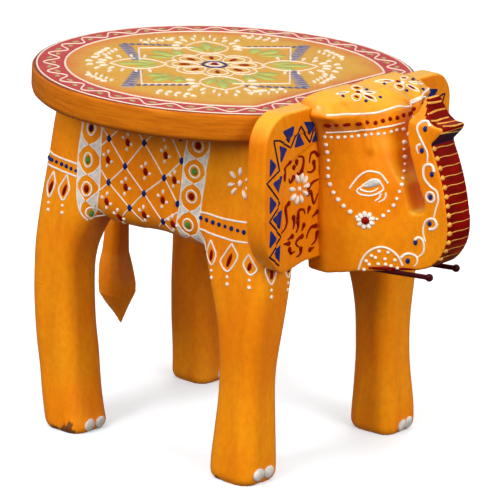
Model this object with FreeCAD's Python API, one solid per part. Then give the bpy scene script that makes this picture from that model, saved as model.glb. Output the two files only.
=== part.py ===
import FreeCAD, Part
import math
import os

# Carved and painted elephant stool, millimetres. The elephant faces +X and its right side is -Y.
# Every shape is drawn about the seat's centre, and moved at the end so that the origin lies at the
# bottom centre of the whole stool's box.

# Seat: a round board whose front is cut straight where the head stands
SEAT_RADIUS = 125.0
SEAT_THICKNESS = 18.7
SEAT_TOP_Z = 243.2
SEAT_FRONT_X = 97.5
SEAT_TOP_ROUND = 1.8
SEAT_BOTTOM_ROUND = 4.5
SEAT_UNDERSIDE_Z = SEAT_TOP_Z - SEAT_THICKNESS

# Body: a block under the seat, rounded along the belly and the rump
BODY_REAR_X = -72.0
BODY_HALF_WIDTH = 78.0
BODY_BELLY_Z = 150.0
BODY_BELLY_ROUND = 18.0
BODY_RUMP_ROUND = 12.0

# Legs: carved from square blanks, with tops that are let into the body's corners as posts
LEG_BLANK = 36.0
LEG_CORNER = 11.0
FOOT_ROUND = 2.5
POST_WIDTH = 38.0
POST_OUTER_Y = 79.0
FRONT_POST_LENGTH = 52.5
REAR_POST_LENGTH = 46.0
REAR_POST_X = -77.0

# Each foot's centre, and its shank's centre halfway up, where the leg bows or leans
FOOT_PLACES = {
    "front_right_leg": (80.0, -65.0),
    "front_left_leg": (88.0, 75.0),
    "rear_right_leg": (-57.0, -70.0),
    "rear_left_leg": (-62.0, 66.0),
}
SHANK_PLACES = {
    "front_right_leg": (80.0, -64.5),
    "front_left_leg": (83.5, 72.0),
    "rear_right_leg": (-70.5, -70.0),
    "rear_left_leg": (-69.5, 69.0),
}
# Stations from foot to top: share of the leg's height, share of the way from foot to shank, share
# of the way from shank to post, then the section's length and width as shares of the blank
FRONT_STATION_SHARES = (
    (0.0, 0.0, 0.0, 1.0, 1.0),
    (0.15, 0.3, 0.0, 0.93, 0.96),
    (0.3, 0.6, 0.0, 0.86, 0.92),
    (0.45, 1.0, 0.0, 1.02, 0.98),
    (0.6, 1.0, 0.35, 1.3, 1.04),
    (0.75, 1.0, 1.0, 1.458, 1.056),
    (1.0, 1.0, 1.0, 1.458, 1.056),
)
REAR_STATION_SHARES = (
    (0.0, 0.0, 0.0, 0.96, 1.02),
    (0.12, 0.45, 0.0, 0.92, 1.0),
    (0.36, 1.0, 0.0, 0.94, 1.0),
    (0.56, 1.0, 0.04, 1.02, 0.98),
    (0.68, 1.0, 0.42, 1.28, 1.06),
    (0.83, 1.0, 0.75, 1.4, 1.056),
    (1.0, 1.0, 1.0, 1.278, 1.056),
)

# Ears: flat slabs whose faces are hollowed inside a rim, against the front of the seat and body
EAR_THICKNESS = 14.0
EAR_REACH_Y = 97.5
EAR_INNER_Y = 28.0
EAR_TOP_Z = 247.0
EAR_BOTTOM_Z = 144.0
EAR_CORNER_RADIUS = 20.0
EAR_RIM = 15.0
EAR_HOLLOW_DEPTH = 1.8
EAR_HOLLOW_CORNER = 10.0
EAR_EDGE_ROUND = 1.5
# Lower outline from the outer edge to the inner one: share of the reach, share of the height
EAR_LOWER_SHARES = (
    (1.0, 0.56),
    (0.985, 0.35),
    (0.955, 0.2),
    (0.9, 0.11),
    (0.82, 0.035),
    (0.74, 0.0),
    (0.64, 0.005),
    (0.48, 0.03),
)

# Head: wedge shaped, widest at the brow, narrowing to the trunk
TEMPLE_X = 112.0
CHEEK_HALF_WIDTH = 38.5
JAW_Z = 135.5
CROWN_Z = 254.0
CROWN_GROOVE_RADIUS = 30.0
CROWN_GROOVE_DEPTH = 2.5
# Stations from jaw to crown: height, rear setback as a share of the temple's depth, then half
# widths as shares of the cheek's and places as shares of the reach from temple to trunk:
# rear width, temple width, cheek place, cheek width, front place, front width
HEAD_STATION_SHARES = (
    (0.0, 0.0, 0.8, 0.83, 0.3, 0.56, 0.63, 0.325),
    (0.26, 0.0, 0.93, 0.97, 0.35, 0.62, 0.65, 0.325),
    (0.39, 0.0, 0.95, 1.0, 0.35, 0.64, 0.62, 0.33),
    (0.53, 0.0, 0.96, 1.0, 0.33, 0.65, 0.55, 0.39),
    (0.67, 0.0, 1.01, 1.06, 0.23, 0.8, 0.39, 0.47),
    (0.8, 0.0, 1.14, 1.2, 0.175, 0.94, 0.28, 0.52),
    (0.9, 0.0, 1.3, 1.45, 0.18, 1.4, 0.24, 1.0),
    (0.965, 0.15, 1.22, 1.33, 0.12, 1.24, 0.155, 0.88),
    (1.0, 0.6, 1.0, 1.0, 0.015, 0.9, 0.065, 0.62),
)

# Trunk: a flat curl that rises in front of the face, with a lip below its tip
TRUNK_REACH_X = 191.5
TRUNK_TIP_Z = 255.0
TRUNK_HALF_WIDTH = 12.5
TRUNK_TIP_HALF_WIDTH = 5.5
TRUNK_TAPER_Z = 238.0
# Side outline: share of the reach from temple to trunk, share of the height from jaw to tip
TRUNK_FRONT_SHARES = (
    (0.26, 0.033),
    (0.6, 0.073),
    (0.845, 0.13),
    (0.955, 0.205),
    (1.0, 0.3),
    (0.975, 0.43),
    (0.925, 0.548),
    (0.84, 0.674),
    (0.765, 0.774),
)
TRUNK_LIP_SHARES = ((0.868, 0.85), (0.86, 0.87))
TRUNK_MOUTH_SHARES = ((0.86, 0.87), (0.735, 0.895), (0.705, 0.935), (0.675, 1.0))
TRUNK_BACK_SHARES = (
    (0.625, 0.995),
    (0.6, 0.92),
    (0.58, 0.79),
    (0.62, 0.71),
    (0.71, 0.58),
    (0.767, 0.488),
    (0.75, 0.42),
    (0.68, 0.388),
)
TRUNK_ROOT_SHARES = ((0.56, 0.388), (0.35, 0.3))

# Tusks: thin sticks that start in the jaw and end in a ball
TUSK_RADIUS = 1.6
TUSK_BALL_RADIUS = 2.5
TUSK_ROOT_X = 124.0
TUSK_ROOT_Z = 139.5
TUSK_TIP_X = 179.5
TUSK_TIP_Z = 144.5
TUSK_Y = 14.5

# Tail: a faceted spear that hangs from the rump on its own tenon
TAIL_X = -84.5
TAIL_ROOT_X = -78.0
TAIL_TOP_Z = 206.0
TAIL_TIP_Z = 49.5
TAIL_WIDTH = 22.5
TAIL_THICKNESS = 18.5
TAIL_FACET_SHARE = 0.4
TAIL_TENON_RADIUS = 4.0
TAIL_TENON_DEPTH = 16.0
TAIL_TENON_Z = 192.0
# Stations from top to tip: share of the length, share of the way from root to hanging place,
# share of the full section
TAIL_STATION_SHARES = (
    (0.0, 0.0, 0.4),
    (0.15, 0.3, 0.56),
    (0.5, 0.9, 0.5),
    (0.68, 1.0, 0.62),
    (0.82, 1.0, 0.98),
    (0.86, 1.0, 0.98),
    (0.98, 0.6, 0.17),
    (1.0, 0.55, 0.06),
)

# Pins: hidden dowels in drilled holes
DOWEL_RADIUS = 4.0
DOWEL_LENGTH = 32.0
DOWEL_CLEARANCE = 0.1
LEG_DOWEL_SPACING = 36.0
SEAT_DOWEL_SPACING = 84.0
SEAT_DOWEL_DEPTH = 11.0
HEAD_DOWEL_SPACING = 34.0
HEAD_DOWEL_Z = 188.0
EAR_DOWEL_LENGTH = 18.0
EAR_DOWEL_RADIUS = 3.0
EAR_DOWEL_Z = 170.0
EAR_DOWEL_SPACING = 34.0

OVERRUN = 40.0


def vec(x, y, z):
    return FreeCAD.Vector(x, y, z)


def between(start, end, share):
    return start + (end - start) * share


def rounded_wire(centre_x, centre_y, z, half_x, half_y, corner):
    # A level rectangle with rounded corners, drawn anticlockwise from its right side
    r = min(corner, half_x, half_y)
    edges = []
    for quarter in range(4):
        angle = math.radians(90 * quarter)
        flip = quarter % 2
        a = half_y if flip else half_x
        b = half_x if flip else half_y

        def place(u, v):
            turn_x = u * math.cos(angle) - v * math.sin(angle)
            turn_y = u * math.sin(angle) + v * math.cos(angle)
            return vec(centre_x + turn_x, centre_y + turn_y, z)

        edges.append(Part.LineSegment(place(a, r - b), place(a, b - r)).toShape())
        bend = r * (1 - math.sqrt(0.5))
        arc = Part.Arc(place(a, b - r), place(a - bend, b - bend), place(a - r, b))
        edges.append(arc.toShape())
    return Part.Wire(edges)


def polygon_wire(points):
    return Part.makePolygon(list(points) + [points[0]])


def spline_edge(points):
    curve = Part.BSplineCurve()
    curve.interpolate(list(points))
    return curve.toShape()


def pin(start, direction, length, radius):
    return Part.makeCylinder(radius, length, start, direction)


def mirrored(shape):
    return shape.mirror(vec(0, 0, 0), vec(0, 1, 0))


# Seat


def seat_board():
    base = vec(0, 0, SEAT_UNDERSIDE_Z)
    disc = Part.makeCylinder(SEAT_RADIUS, SEAT_THICKNESS, base)
    rims = [edge for edge in disc.Edges if isinstance(edge.Curve, Part.Circle)]
    top = [edge for edge in rims if edge.BoundBox.ZMin > SEAT_UNDERSIDE_Z + SEAT_THICKNESS / 2]
    disc = disc.makeFillet(SEAT_TOP_ROUND, top)
    rims = [edge for edge in disc.Edges if isinstance(edge.Curve, Part.Circle)]
    lowest = min(edge.BoundBox.ZMin for edge in rims)
    bottom = [edge for edge in rims if edge.BoundBox.ZMax < lowest + SEAT_TOP_ROUND]
    disc = disc.makeFillet(SEAT_BOTTOM_ROUND, bottom)
    front = Part.makeBox(SEAT_RADIUS, 2 * SEAT_RADIUS, SEAT_THICKNESS,
                         vec(SEAT_FRONT_X, -SEAT_RADIUS, SEAT_UNDERSIDE_Z))
    return disc.cut(front)


# Legs


def post_place(name):
    side = -1 if "right" in name else 1
    front = "front" in name
    half = (FRONT_POST_LENGTH if front else REAR_POST_LENGTH) / 2
    x = SEAT_FRONT_X - half if front else REAR_POST_X + half
    return x, side * (POST_OUTER_Y - POST_WIDTH / 2)


def leg(name):
    foot_x, foot_y = FOOT_PLACES[name]
    shank_x, shank_y = SHANK_PLACES[name]
    post_x, post_y = post_place(name)
    stations = FRONT_STATION_SHARES if "front" in name else REAR_STATION_SHARES
    sections = []
    for height, to_shank, to_post, length, width in stations:
        x = between(foot_x, shank_x, to_shank) + (post_x - shank_x) * to_post
        y = between(foot_y, shank_y, to_shank) + (post_y - shank_y) * to_post
        half_x = LEG_BLANK * length / 2
        half_y = LEG_BLANK * width / 2
        z = SEAT_UNDERSIDE_Z * height
        sections.append(rounded_wire(x, y, z, half_x, half_y, LEG_CORNER))
    shape = Part.makeLoft(sections, True, False)
    sole = [edge for edge in shape.Edges if edge.BoundBox.ZMax < FOOT_ROUND]
    return shape.makeFillet(FOOT_ROUND, sole)


# Body


def body_corner(name):
    # Outside a post's middle only the post shows: the body ends where its corner starts to round
    x, y = post_place(name)
    if "front" in name:
        near_x = x - FRONT_POST_LENGTH / 2 + LEG_CORNER
        far_x = SEAT_FRONT_X + OVERRUN
    else:
        near_x = x + REAR_POST_LENGTH / 2 - LEG_CORNER
        far_x = BODY_REAR_X - OVERRUN
    far_y = math.copysign(BODY_HALF_WIDTH + OVERRUN, y)
    low = vec(min(near_x, far_x), min(y, far_y), BODY_BELLY_Z - OVERRUN)
    height = SEAT_UNDERSIDE_Z - low.z
    return Part.makeBox(abs(far_x - near_x), abs(far_y - y), height, low)


def body_block(legs, tail_tenon_hole):
    length = SEAT_FRONT_X - BODY_REAR_X
    height = SEAT_UNDERSIDE_Z - BODY_BELLY_Z
    corner = vec(BODY_REAR_X, -BODY_HALF_WIDTH, BODY_BELLY_Z)
    block = Part.makeBox(length, 2 * BODY_HALF_WIDTH, height, corner)
    belly = []
    for edge in block.Edges:
        box = edge.BoundBox
        low = box.ZMax < BODY_BELLY_Z + BODY_BELLY_ROUND
        if low and box.XLength > length / 2:
            belly.append(edge)
    block = block.makeFillet(BODY_BELLY_ROUND, belly)
    rump = []
    for edge in block.Edges:
        box = edge.BoundBox
        if box.XMax < BODY_REAR_X + BODY_RUMP_ROUND and box.ZMin < BODY_BELLY_Z + BODY_BELLY_ROUND / 2:
            if box.YLength > BODY_HALF_WIDTH:
                rump.append(edge)
    block = block.makeFillet(BODY_RUMP_ROUND, rump)
    for name, post in legs.items():
        block = block.cut(body_corner(name)).cut(post)
    return block.cut(tail_tenon_hole)


# Head and trunk


def head_x(share):
    return between(TEMPLE_X, TRUNK_REACH_X, share)


def head_z(share):
    return between(JAW_Z, TRUNK_TIP_Z, share)


def skull():
    sections = []
    depth = TEMPLE_X - SEAT_FRONT_X
    for row in HEAD_STATION_SHARES:
        height, setback, rear, temple, cheek_place, cheek, front_place, front = row
        z = between(JAW_Z, CROWN_Z, height)
        half = [
            (SEAT_FRONT_X + depth * setback, CHEEK_HALF_WIDTH * rear),
            (TEMPLE_X, CHEEK_HALF_WIDTH * temple),
            (head_x(cheek_place), CHEEK_HALF_WIDTH * cheek),
            (head_x(front_place), CHEEK_HALF_WIDTH * front),
        ]
        right = [vec(x, -y, z) for x, y in half]
        left = [vec(x, y, z) for x, y in reversed(half)]
        sections.append(polygon_wire(right + left))
    block = Part.makeLoft(sections, True, True)
    groove_z = CROWN_Z + CROWN_GROOVE_RADIUS - CROWN_GROOVE_DEPTH
    groove = Part.makeCylinder(CROWN_GROOVE_RADIUS, TRUNK_REACH_X,
                               vec(0, 0, groove_z), vec(1, 0, 0))
    return block.cut(groove)


def trunk():
    def place(share_pair):
        return vec(head_x(share_pair[0]), -TRUNK_HALF_WIDTH, head_z(share_pair[1]))

    front = [place(pair) for pair in TRUNK_FRONT_SHARES]
    lip = [place(pair) for pair in TRUNK_LIP_SHARES]
    mouth = [place(pair) for pair in TRUNK_MOUTH_SHARES]
    back = [place(pair) for pair in TRUNK_BACK_SHARES]
    root = [place(pair) for pair in TRUNK_ROOT_SHARES]
    edges = [
        spline_edge(front),
        Part.makeLine(front[-1], lip[0]),
        Part.makeLine(lip[0], lip[1]),
        spline_edge(mouth),
        Part.makeLine(mouth[-1], back[0]),
        spline_edge(back),
        Part.makeLine(back[-1], root[0]),
        Part.makeLine(root[0], root[1]),
        Part.makeLine(root[1], front[0]),
    ]
    plate = Part.Face(Part.Wire(edges)).extrude(vec(0, 2 * TRUNK_HALF_WIDTH, 0))
    for side in (-1, 1):
        taper = polygon_wire([
            vec(TEMPLE_X, side * TRUNK_HALF_WIDTH, TRUNK_TAPER_Z),
            vec(TEMPLE_X, side * TRUNK_TIP_HALF_WIDTH, TRUNK_TIP_Z),
            vec(TEMPLE_X, side * (TRUNK_HALF_WIDTH + OVERRUN), TRUNK_TIP_Z),
        ])
        wedge = Part.Face(taper).extrude(vec(TRUNK_REACH_X - TEMPLE_X, 0, 0))
        plate = plate.cut(wedge)
    return plate


def under_jaw():
    # The space below the jaw line, taken off the skull
    shares = TRUNK_FRONT_SHARES[:3]
    line = [vec(head_x(x), -CHEEK_HALF_WIDTH, head_z(z)) for x, z in shares]
    start = vec(TEMPLE_X, -CHEEK_HALF_WIDTH, JAW_Z)
    floor_z = JAW_Z - OVERRUN
    end = line[-1]
    points = [start] + line
    points = points + [vec(end.x, end.y, floor_z), vec(TEMPLE_X, end.y, floor_z)]
    return Part.Face(polygon_wire(points)).extrude(vec(0, 2 * CHEEK_HALF_WIDTH, 0))


def tusk(radius, ball_radius):
    root = vec(TUSK_ROOT_X, -TUSK_Y, TUSK_ROOT_Z)
    tip = vec(TUSK_TIP_X, -TUSK_Y, TUSK_TIP_Z)
    run = tip - root
    stick = pin(root, run, run.Length, radius)
    if ball_radius:
        stick = stick.fuse(Part.makeSphere(ball_radius, tip))
    return stick.removeSplitter()


# Ears


def ear(head):
    height = EAR_TOP_Z - EAR_BOTTOM_Z
    x = SEAT_FRONT_X
    lower = [vec(x, -EAR_REACH_Y * y, EAR_BOTTOM_Z + height * z) for y, z in EAR_LOWER_SHARES]
    corner = EAR_CORNER_RADIUS
    bend = corner * (1 - math.sqrt(0.5))
    top_outer = vec(x, corner - EAR_REACH_Y, EAR_TOP_Z)
    side_top = vec(x, -EAR_REACH_Y, EAR_TOP_Z - corner)
    middle = vec(x, bend - EAR_REACH_Y, EAR_TOP_Z - bend)
    top_inner = vec(x, -EAR_INNER_Y, EAR_TOP_Z)
    bottom_inner = vec(x, -EAR_INNER_Y, lower[-1].z)
    edges = [
        Part.makeLine(top_inner, top_outer),
        Part.Arc(top_outer, middle, side_top).toShape(),
        Part.makeLine(side_top, lower[0]),
        spline_edge(lower),
        Part.makeLine(lower[-1], bottom_inner),
        Part.makeLine(bottom_inner, top_inner),
    ]
    slab = Part.Face(Part.Wire(edges)).extrude(vec(EAR_THICKNESS, 0, 0))
    rounded = []
    for edge in slab.Edges:
        box = edge.BoundBox
        flat = box.XLength < EAR_EDGE_ROUND
        front = box.XMin > x + EAR_THICKNESS / 2
        inner = box.YMin > -EAR_INNER_Y - EAR_EDGE_ROUND
        if flat and front and not inner:
            rounded.append(edge)
    slab = slab.makeFillet(EAR_EDGE_ROUND, rounded)
    slab = slab.cut(ear_hollow())
    return slab.cut(head)


def ear_hollow():
    outer = EAR_REACH_Y - EAR_RIM
    top = EAR_TOP_Z - EAR_RIM
    half_y = outer / 2
    half_z = (top - EAR_BOTTOM_Z + OVERRUN) / 2
    wire = rounded_wire(0, 0, 0, half_z, half_y, EAR_HOLLOW_CORNER)
    prism = Part.Face(wire).extrude(vec(0, 0, EAR_HOLLOW_DEPTH + OVERRUN))
    prism.rotate(vec(0, 0, 0), vec(0, 1, 0), -90)
    x = TEMPLE_X - EAR_HOLLOW_DEPTH
    prism.translate(vec(x + EAR_HOLLOW_DEPTH + OVERRUN, -half_y, top - half_z))
    return prism


# Tail


def tail():
    sections = []
    length = TAIL_TOP_Z - TAIL_TIP_Z
    for along, away, size in TAIL_STATION_SHARES:
        deep = TAIL_THICKNESS * size / 2
        wide = TAIL_WIDTH * size / 2
        x = between(TAIL_ROOT_X, TAIL_X, away)
        z = TAIL_TOP_Z - length * along
        facet = wide * TAIL_FACET_SHARE
        corners = ((deep, facet - wide), (deep, wide - facet), (deep - facet, wide),
                   (facet - deep, wide), (-deep, wide - facet), (-deep, facet - wide),
                   (facet - deep, -wide), (deep - facet, -wide))
        sections.append(polygon_wire([vec(x + u, v, z) for u, v in corners]))
    spear = Part.makeLoft(sections, True, True)
    behind = Part.makeBox(OVERRUN, 2 * BODY_HALF_WIDTH, TAIL_TOP_Z,
                          vec(BODY_REAR_X, -BODY_HALF_WIDTH, TAIL_TIP_Z))
    return spear.cut(behind).fuse(tail_tenon(0)).removeSplitter()


def tail_tenon(clearance):
    start = vec(TAIL_ROOT_X, 0, TAIL_TENON_Z)
    length = BODY_REAR_X - TAIL_ROOT_X + TAIL_TENON_DEPTH + clearance
    return pin(start, vec(1, 0, 0), length, TAIL_TENON_RADIUS + clearance)


# Pins


def leg_pins(clearance):
    pins = []
    mid_z = (BODY_BELLY_Z + BODY_BELLY_ROUND + SEAT_UNDERSIDE_Z) / 2
    length = DOWEL_LENGTH + 2 * clearance
    for name in FOOT_PLACES:
        x, y = post_place(name)
        side = math.copysign(1, y)
        inner_y = abs(y) - POST_WIDTH / 2
        for step in (-1, 1):
            z = mid_z + step * LEG_DOWEL_SPACING / 2
            start = vec(x, side * (inner_y - length / 2), z)
            pins.append(pin(start, vec(0, side, 0), length, DOWEL_RADIUS + clearance))
    return pins


def seat_pins(clearance):
    pins = []
    length = DOWEL_LENGTH + clearance
    for x in (-1, 1):
        for y in (-1, 1):
            place_x = x * SEAT_DOWEL_SPACING / 2
            place_y = y * (POST_OUTER_Y - POST_WIDTH) / 2
            start = vec(place_x, place_y, SEAT_UNDERSIDE_Z + SEAT_DOWEL_DEPTH + clearance)
            pins.append(pin(start, vec(0, 0, -1), length + clearance, DOWEL_RADIUS + clearance))
    return pins


def head_pins(clearance):
    pins = []
    length = DOWEL_LENGTH + 2 * clearance
    for y in (-1, 1):
        start = vec(SEAT_FRONT_X - length / 2, y * HEAD_DOWEL_SPACING / 2, HEAD_DOWEL_Z)
        pins.append(pin(start, vec(1, 0, 0), length, DOWEL_RADIUS + clearance))
    return pins


def ear_pins(clearance):
    pins = []
    length = EAR_DOWEL_LENGTH + 2 * clearance
    x = SEAT_FRONT_X + EAR_THICKNESS / 2
    for side in (-1, 1):
        for step in (0, 1):
            z = EAR_DOWEL_Z + step * EAR_DOWEL_SPACING
            start = vec(x, side * (CHEEK_HALF_WIDTH - length / 2), z)
            pins.append(pin(start, vec(0, side, 0), length, EAR_DOWEL_RADIUS + clearance))
    return pins


def build():
    parts = {}
    legs = {name: leg(name) for name in FOOT_PLACES}
    body = body_block(legs, tail_tenon(DOWEL_CLEARANCE))
    head = skull().cut(under_jaw()).fuse(trunk()).removeSplitter()
    right_ear = ear(head)
    left_ear = mirrored(right_ear)
    for name in legs:
        if "front" in name:
            legs[name] = legs[name].cut(head).cut(right_ear).cut(left_ear)
    tusk_hole = tusk(TUSK_RADIUS + DOWEL_CLEARANCE, 0)
    head = head.cut(tusk_hole).cut(mirrored(tusk_hole))
    seat = seat_board()

    for hole in leg_pins(DOWEL_CLEARANCE):
        body = body.cut(hole)
        for name in legs:
            legs[name] = legs[name].cut(hole)
    for hole in seat_pins(DOWEL_CLEARANCE):
        body = body.cut(hole)
        seat = seat.cut(hole)
    for hole in head_pins(DOWEL_CLEARANCE):
        body = body.cut(hole)
        head = head.cut(hole)
    for hole in ear_pins(DOWEL_CLEARANCE):
        head = head.cut(hole)
        right_ear = right_ear.cut(hole)
        left_ear = left_ear.cut(hole)

    parts["seat_board"] = seat
    parts["body_block"] = body
    parts.update(legs)
    parts["head_block"] = head
    parts["right_ear"] = right_ear
    parts["left_ear"] = left_ear
    parts["tail"] = tail()
    parts["right_tusk"] = tusk(TUSK_RADIUS, TUSK_BALL_RADIUS)
    parts["left_tusk"] = mirrored(parts["right_tusk"])
    parts["leg_dowels"] = Part.makeCompound(leg_pins(0))
    parts["seat_dowels"] = Part.makeCompound(seat_pins(0))
    parts["head_dowels"] = Part.makeCompound(head_pins(0))
    parts["ear_dowels"] = Part.makeCompound(ear_pins(0))
    return parts


def main():
    parts = build()
    os.makedirs("parts", exist_ok=True)
    middle_x = (TRUNK_REACH_X - SEAT_RADIUS) / 2
    for name, shape in parts.items():
        shape.translate(vec(-middle_x, 0, 0))
        shape.exportStep("parts/" + name + ".step")
        box = shape.BoundBox
        print(name, len(shape.Solids), "solids", shape.isValid(), round(shape.Volume),
              round(box.XMin, 1), round(box.XMax, 1), round(box.YMin, 1), round(box.YMax, 1),
              round(box.ZMin, 1), round(box.ZMax, 1))


main()
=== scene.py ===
import math
import random

import bmesh
import bpy
from bpy.props import FloatProperty, FloatVectorProperty, PointerProperty
from bpy.types import Operator, Panel, PropertyGroup
from mathutils import Matrix, Vector, noise
from mathutils.bvhtree import BVHTree


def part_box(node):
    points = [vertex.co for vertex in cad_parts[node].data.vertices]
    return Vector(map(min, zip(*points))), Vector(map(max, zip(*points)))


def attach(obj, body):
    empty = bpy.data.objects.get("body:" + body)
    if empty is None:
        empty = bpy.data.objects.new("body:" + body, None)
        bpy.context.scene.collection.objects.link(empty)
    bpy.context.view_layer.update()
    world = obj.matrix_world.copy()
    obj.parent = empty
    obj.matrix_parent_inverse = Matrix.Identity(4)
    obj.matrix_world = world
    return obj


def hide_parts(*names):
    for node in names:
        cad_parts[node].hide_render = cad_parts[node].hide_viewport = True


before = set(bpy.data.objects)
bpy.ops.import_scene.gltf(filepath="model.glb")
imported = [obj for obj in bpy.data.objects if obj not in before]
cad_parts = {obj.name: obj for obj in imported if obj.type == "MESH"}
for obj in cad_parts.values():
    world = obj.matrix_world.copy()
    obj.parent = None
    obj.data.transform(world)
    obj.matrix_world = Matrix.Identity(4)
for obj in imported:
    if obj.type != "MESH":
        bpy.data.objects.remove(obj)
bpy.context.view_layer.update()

bl_info = {
    "name": "Carved elephant stool",
    "version": (1, 0, 0),
    "blender": (4, 5, 0),
    "location": "View3D > Sidebar > Elephant Stool",
    "description": "Carves, varnishes and paints the elephant stool around its packed solids",
    "category": "Object",
}

MM = 0.001
# A distance that clears the whole stool
FAR = 0.4
# A drop in the wood that paint doesn't follow, and how deep a patch's back lies in the wood
EDGE_STEP = 7 * MM
SUNK = 0.3 * MM
# Faces in a mesh of marks before the next one is begun, as marks go faster into a small mesh
FULL_SHEET = 600
CHANCE = random.Random(11)
BODY = "root"
LEGS = ("front_right_leg", "front_left_leg", "rear_right_leg", "rear_left_leg")

# The seat's centre lies behind the frame's origin, and most patterns are set out from it
SEAT_X = -33.25
SEAT_LOW, SEAT_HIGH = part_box("seat_board")


def srgb(*screen):
    """A linear colour from screen values of 0 to 255."""
    linear = []
    for value in screen:
        share = value / 255
        low = share <= 0.04045
        linear.append(share / 12.92 if low else ((share + 0.055) / 1.055) ** 2.4)
    return (*linear, 1.0)


# Settings


def length(name, text, default, low):
    return FloatProperty(name=name, description=text, default=default * MM, min=low * MM,
                         subtype="DISTANCE")


def tint(name, *screen):
    return FloatVectorProperty(name=name, subtype="COLOR", size=4, min=0, max=1,
                               default=srgb(*screen))


class StoolSizes(PropertyGroup):
    """Sizes of the carving and of the raised paint."""

    body_grain: length("Body detail", "Spacing of the carved body's faces", 1.4, 0.8)
    head_grain: length("Head detail", "Spacing of the carved head's faces", 1.1, 0.6)
    seat_grain: length("Seat detail", "Spacing of the seat's faces", 1.5, 0.8)
    mark_depth: length("Knife mark depth", "Depth of the knife marks on the legs", 0.5, 0)
    mark_width: length("Knife mark width", "Width of one knife mark on the legs", 11, 2)
    mark_length: length("Knife mark length", "Length of one knife mark down a leg", 60, 2)
    line_width: length("Line width", "Width of a line of raised paint", 1.5, 0.3)
    paint_lift: length("Paint thickness", "Height of a brushed patch on the wood", 0.22, 0.05)


class StoolColours(PropertyGroup):
    """Colours of the ground coat and of the paints."""

    ground: tint("Orange ground coat", 250, 140, 6)
    ground_deep: tint("Ground coat where it lies thick", 214, 96, 2)
    ground_light: tint("Ground coat brushed thin", 253, 170, 20)
    # Painted top light: the lighter, yellower colour that faces turned upwards are glazed with
    ground_painted_top_light: tint("Painted top light on upper faces", 228, 188, 54)
    wood: tint("Bare wood at the worn edges", 112, 62, 28)
    white: tint("Raised white lines", 255, 250, 240)
    ivory: tint("Raised ivory lines on the seat", 236, 224, 206)
    grey: tint("Grey white fills", 240, 236, 232)
    blue: tint("Blue dots and triangles", 16, 44, 126)
    navy: tint("Dark outlines", 40, 18, 56)
    maroon: tint("Maroon fills", 140, 12, 2)
    green: tint("Green fills on the body", 92, 148, 60)
    yellow: tint("Yellow lines on the trunk", 250, 184, 80)
    trunk_red: tint("Dark red face of the trunk", 146, 4, 0)
    field: tint("Middle of the seat", 206, 158, 52)
    field_edge: tint("Seat's middle beside its border", 200, 100, 38)
    border: tint("Red border of the seat", 184, 52, 62)
    leaf: tint("Green leaves on the seat", 178, 190, 98)
    olive: tint("Leaf spots in the border's wave", 178, 166, 110)
    nail: tint("Silvery toenails", 236, 232, 226)
    lilac: tint("Hatched bands beside the seat's square", 172, 156, 156)
    slate: tint("Faded blue dashes round the seat's square", 92, 96, 142)
    floor: tint("Studio floor", 240, 240, 240)


def sizes():
    return bpy.context.scene.stool_sizes


def colours():
    return bpy.context.scene.stool_colours


# Materials


class Nodes:
    """The node tree of a material or a world, with its last node, before its output."""

    def __init__(self, owner, last):
        owner.use_nodes = True
        self.tree = owner.node_tree
        self.last = self.tree.nodes[last]

    def feed(self, node, inputs):
        """Fills inputs, each from another node, with a named paint or with a fixed value."""
        for key, value in dict(inputs).items():
            if isinstance(value, bpy.types.NodeSocket):
                self.tree.links.new(value, node.inputs[key])
            elif isinstance(value, str):
                node.inputs[key].default_value = list(getattr(colours(), value))
            elif value is not None:
                node.inputs[key].default_value = value

    def node(self, kind, inputs=(), **settings):
        """Adds a node and gives its outputs."""
        node = self.tree.nodes.new("ShaderNode" + kind)
        for key, value in settings.items():
            setattr(node, key, value)
        self.feed(node, inputs)
        return node.outputs

    def axis(self, name, place):
        return self.node("SeparateXYZ", {0: place})[name]


class Finish(Nodes):
    """A material under construction, with short ways to add its nodes."""

    def __init__(self, name, rough, coat=0.0, gloss=0.22):
        self.material = bpy.data.materials.new(name)
        super().__init__(self.material, "Principled BSDF")
        self.feed(self.last, {"Roughness": rough, "Coat Weight": coat, "Coat Roughness": 0.14,
                              "Specular IOR Level": gloss})
        self.place = self.node("TexCoord")["Object"]

    def noise(self, scale, stretch=(1, 1, 1), detail=3.0, rough=0.55, bend=0.0):
        place = self.node("Mapping", {"Vector": self.place, "Scale": stretch})["Vector"]
        return self.node("TexNoise", {"Vector": place, "Scale": scale, "Detail": detail,
                                      "Roughness": rough, "Distortion": bend})["Fac"]

    def span(self, value, low, high, to_low=0.0, to_high=1.0):
        """The value's range from low to high, spread smoothly over another range."""
        inputs = {"Value": value, "From Min": low, "From Max": high, "To Min": to_low,
                  "To Max": to_high}
        return self.node("MapRange", inputs, interpolation_type="SMOOTHSTEP")["Result"]

    def maths(self, operation, first, second=0.0):
        return self.node("Math", {0: first, 1: second}, operation=operation)["Value"]

    def mix(self, share, first, second):
        """The first colour where the share is 0, and the second where it is 1."""
        return self.node("Mix", {"Factor": share, 6: first, 7: second}, data_type="RGBA")[2]

    def glaze(self, under, over, share, strength):
        return self.mix(self.maths("MULTIPLY", share, strength), under, over)

    def bump(self, height, strength, depth, under=None):
        return self.node("Bump", {"Height": height, "Strength": strength, "Distance": depth * MM,
                                  "Normal": under})["Normal"]

    def done(self, colour, normal=None, rough=None):
        self.feed(self.last, {"Base Color": colour, "Normal": normal, "Coat Normal": normal,
                              "Roughness": rough})
        return self.material


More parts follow.
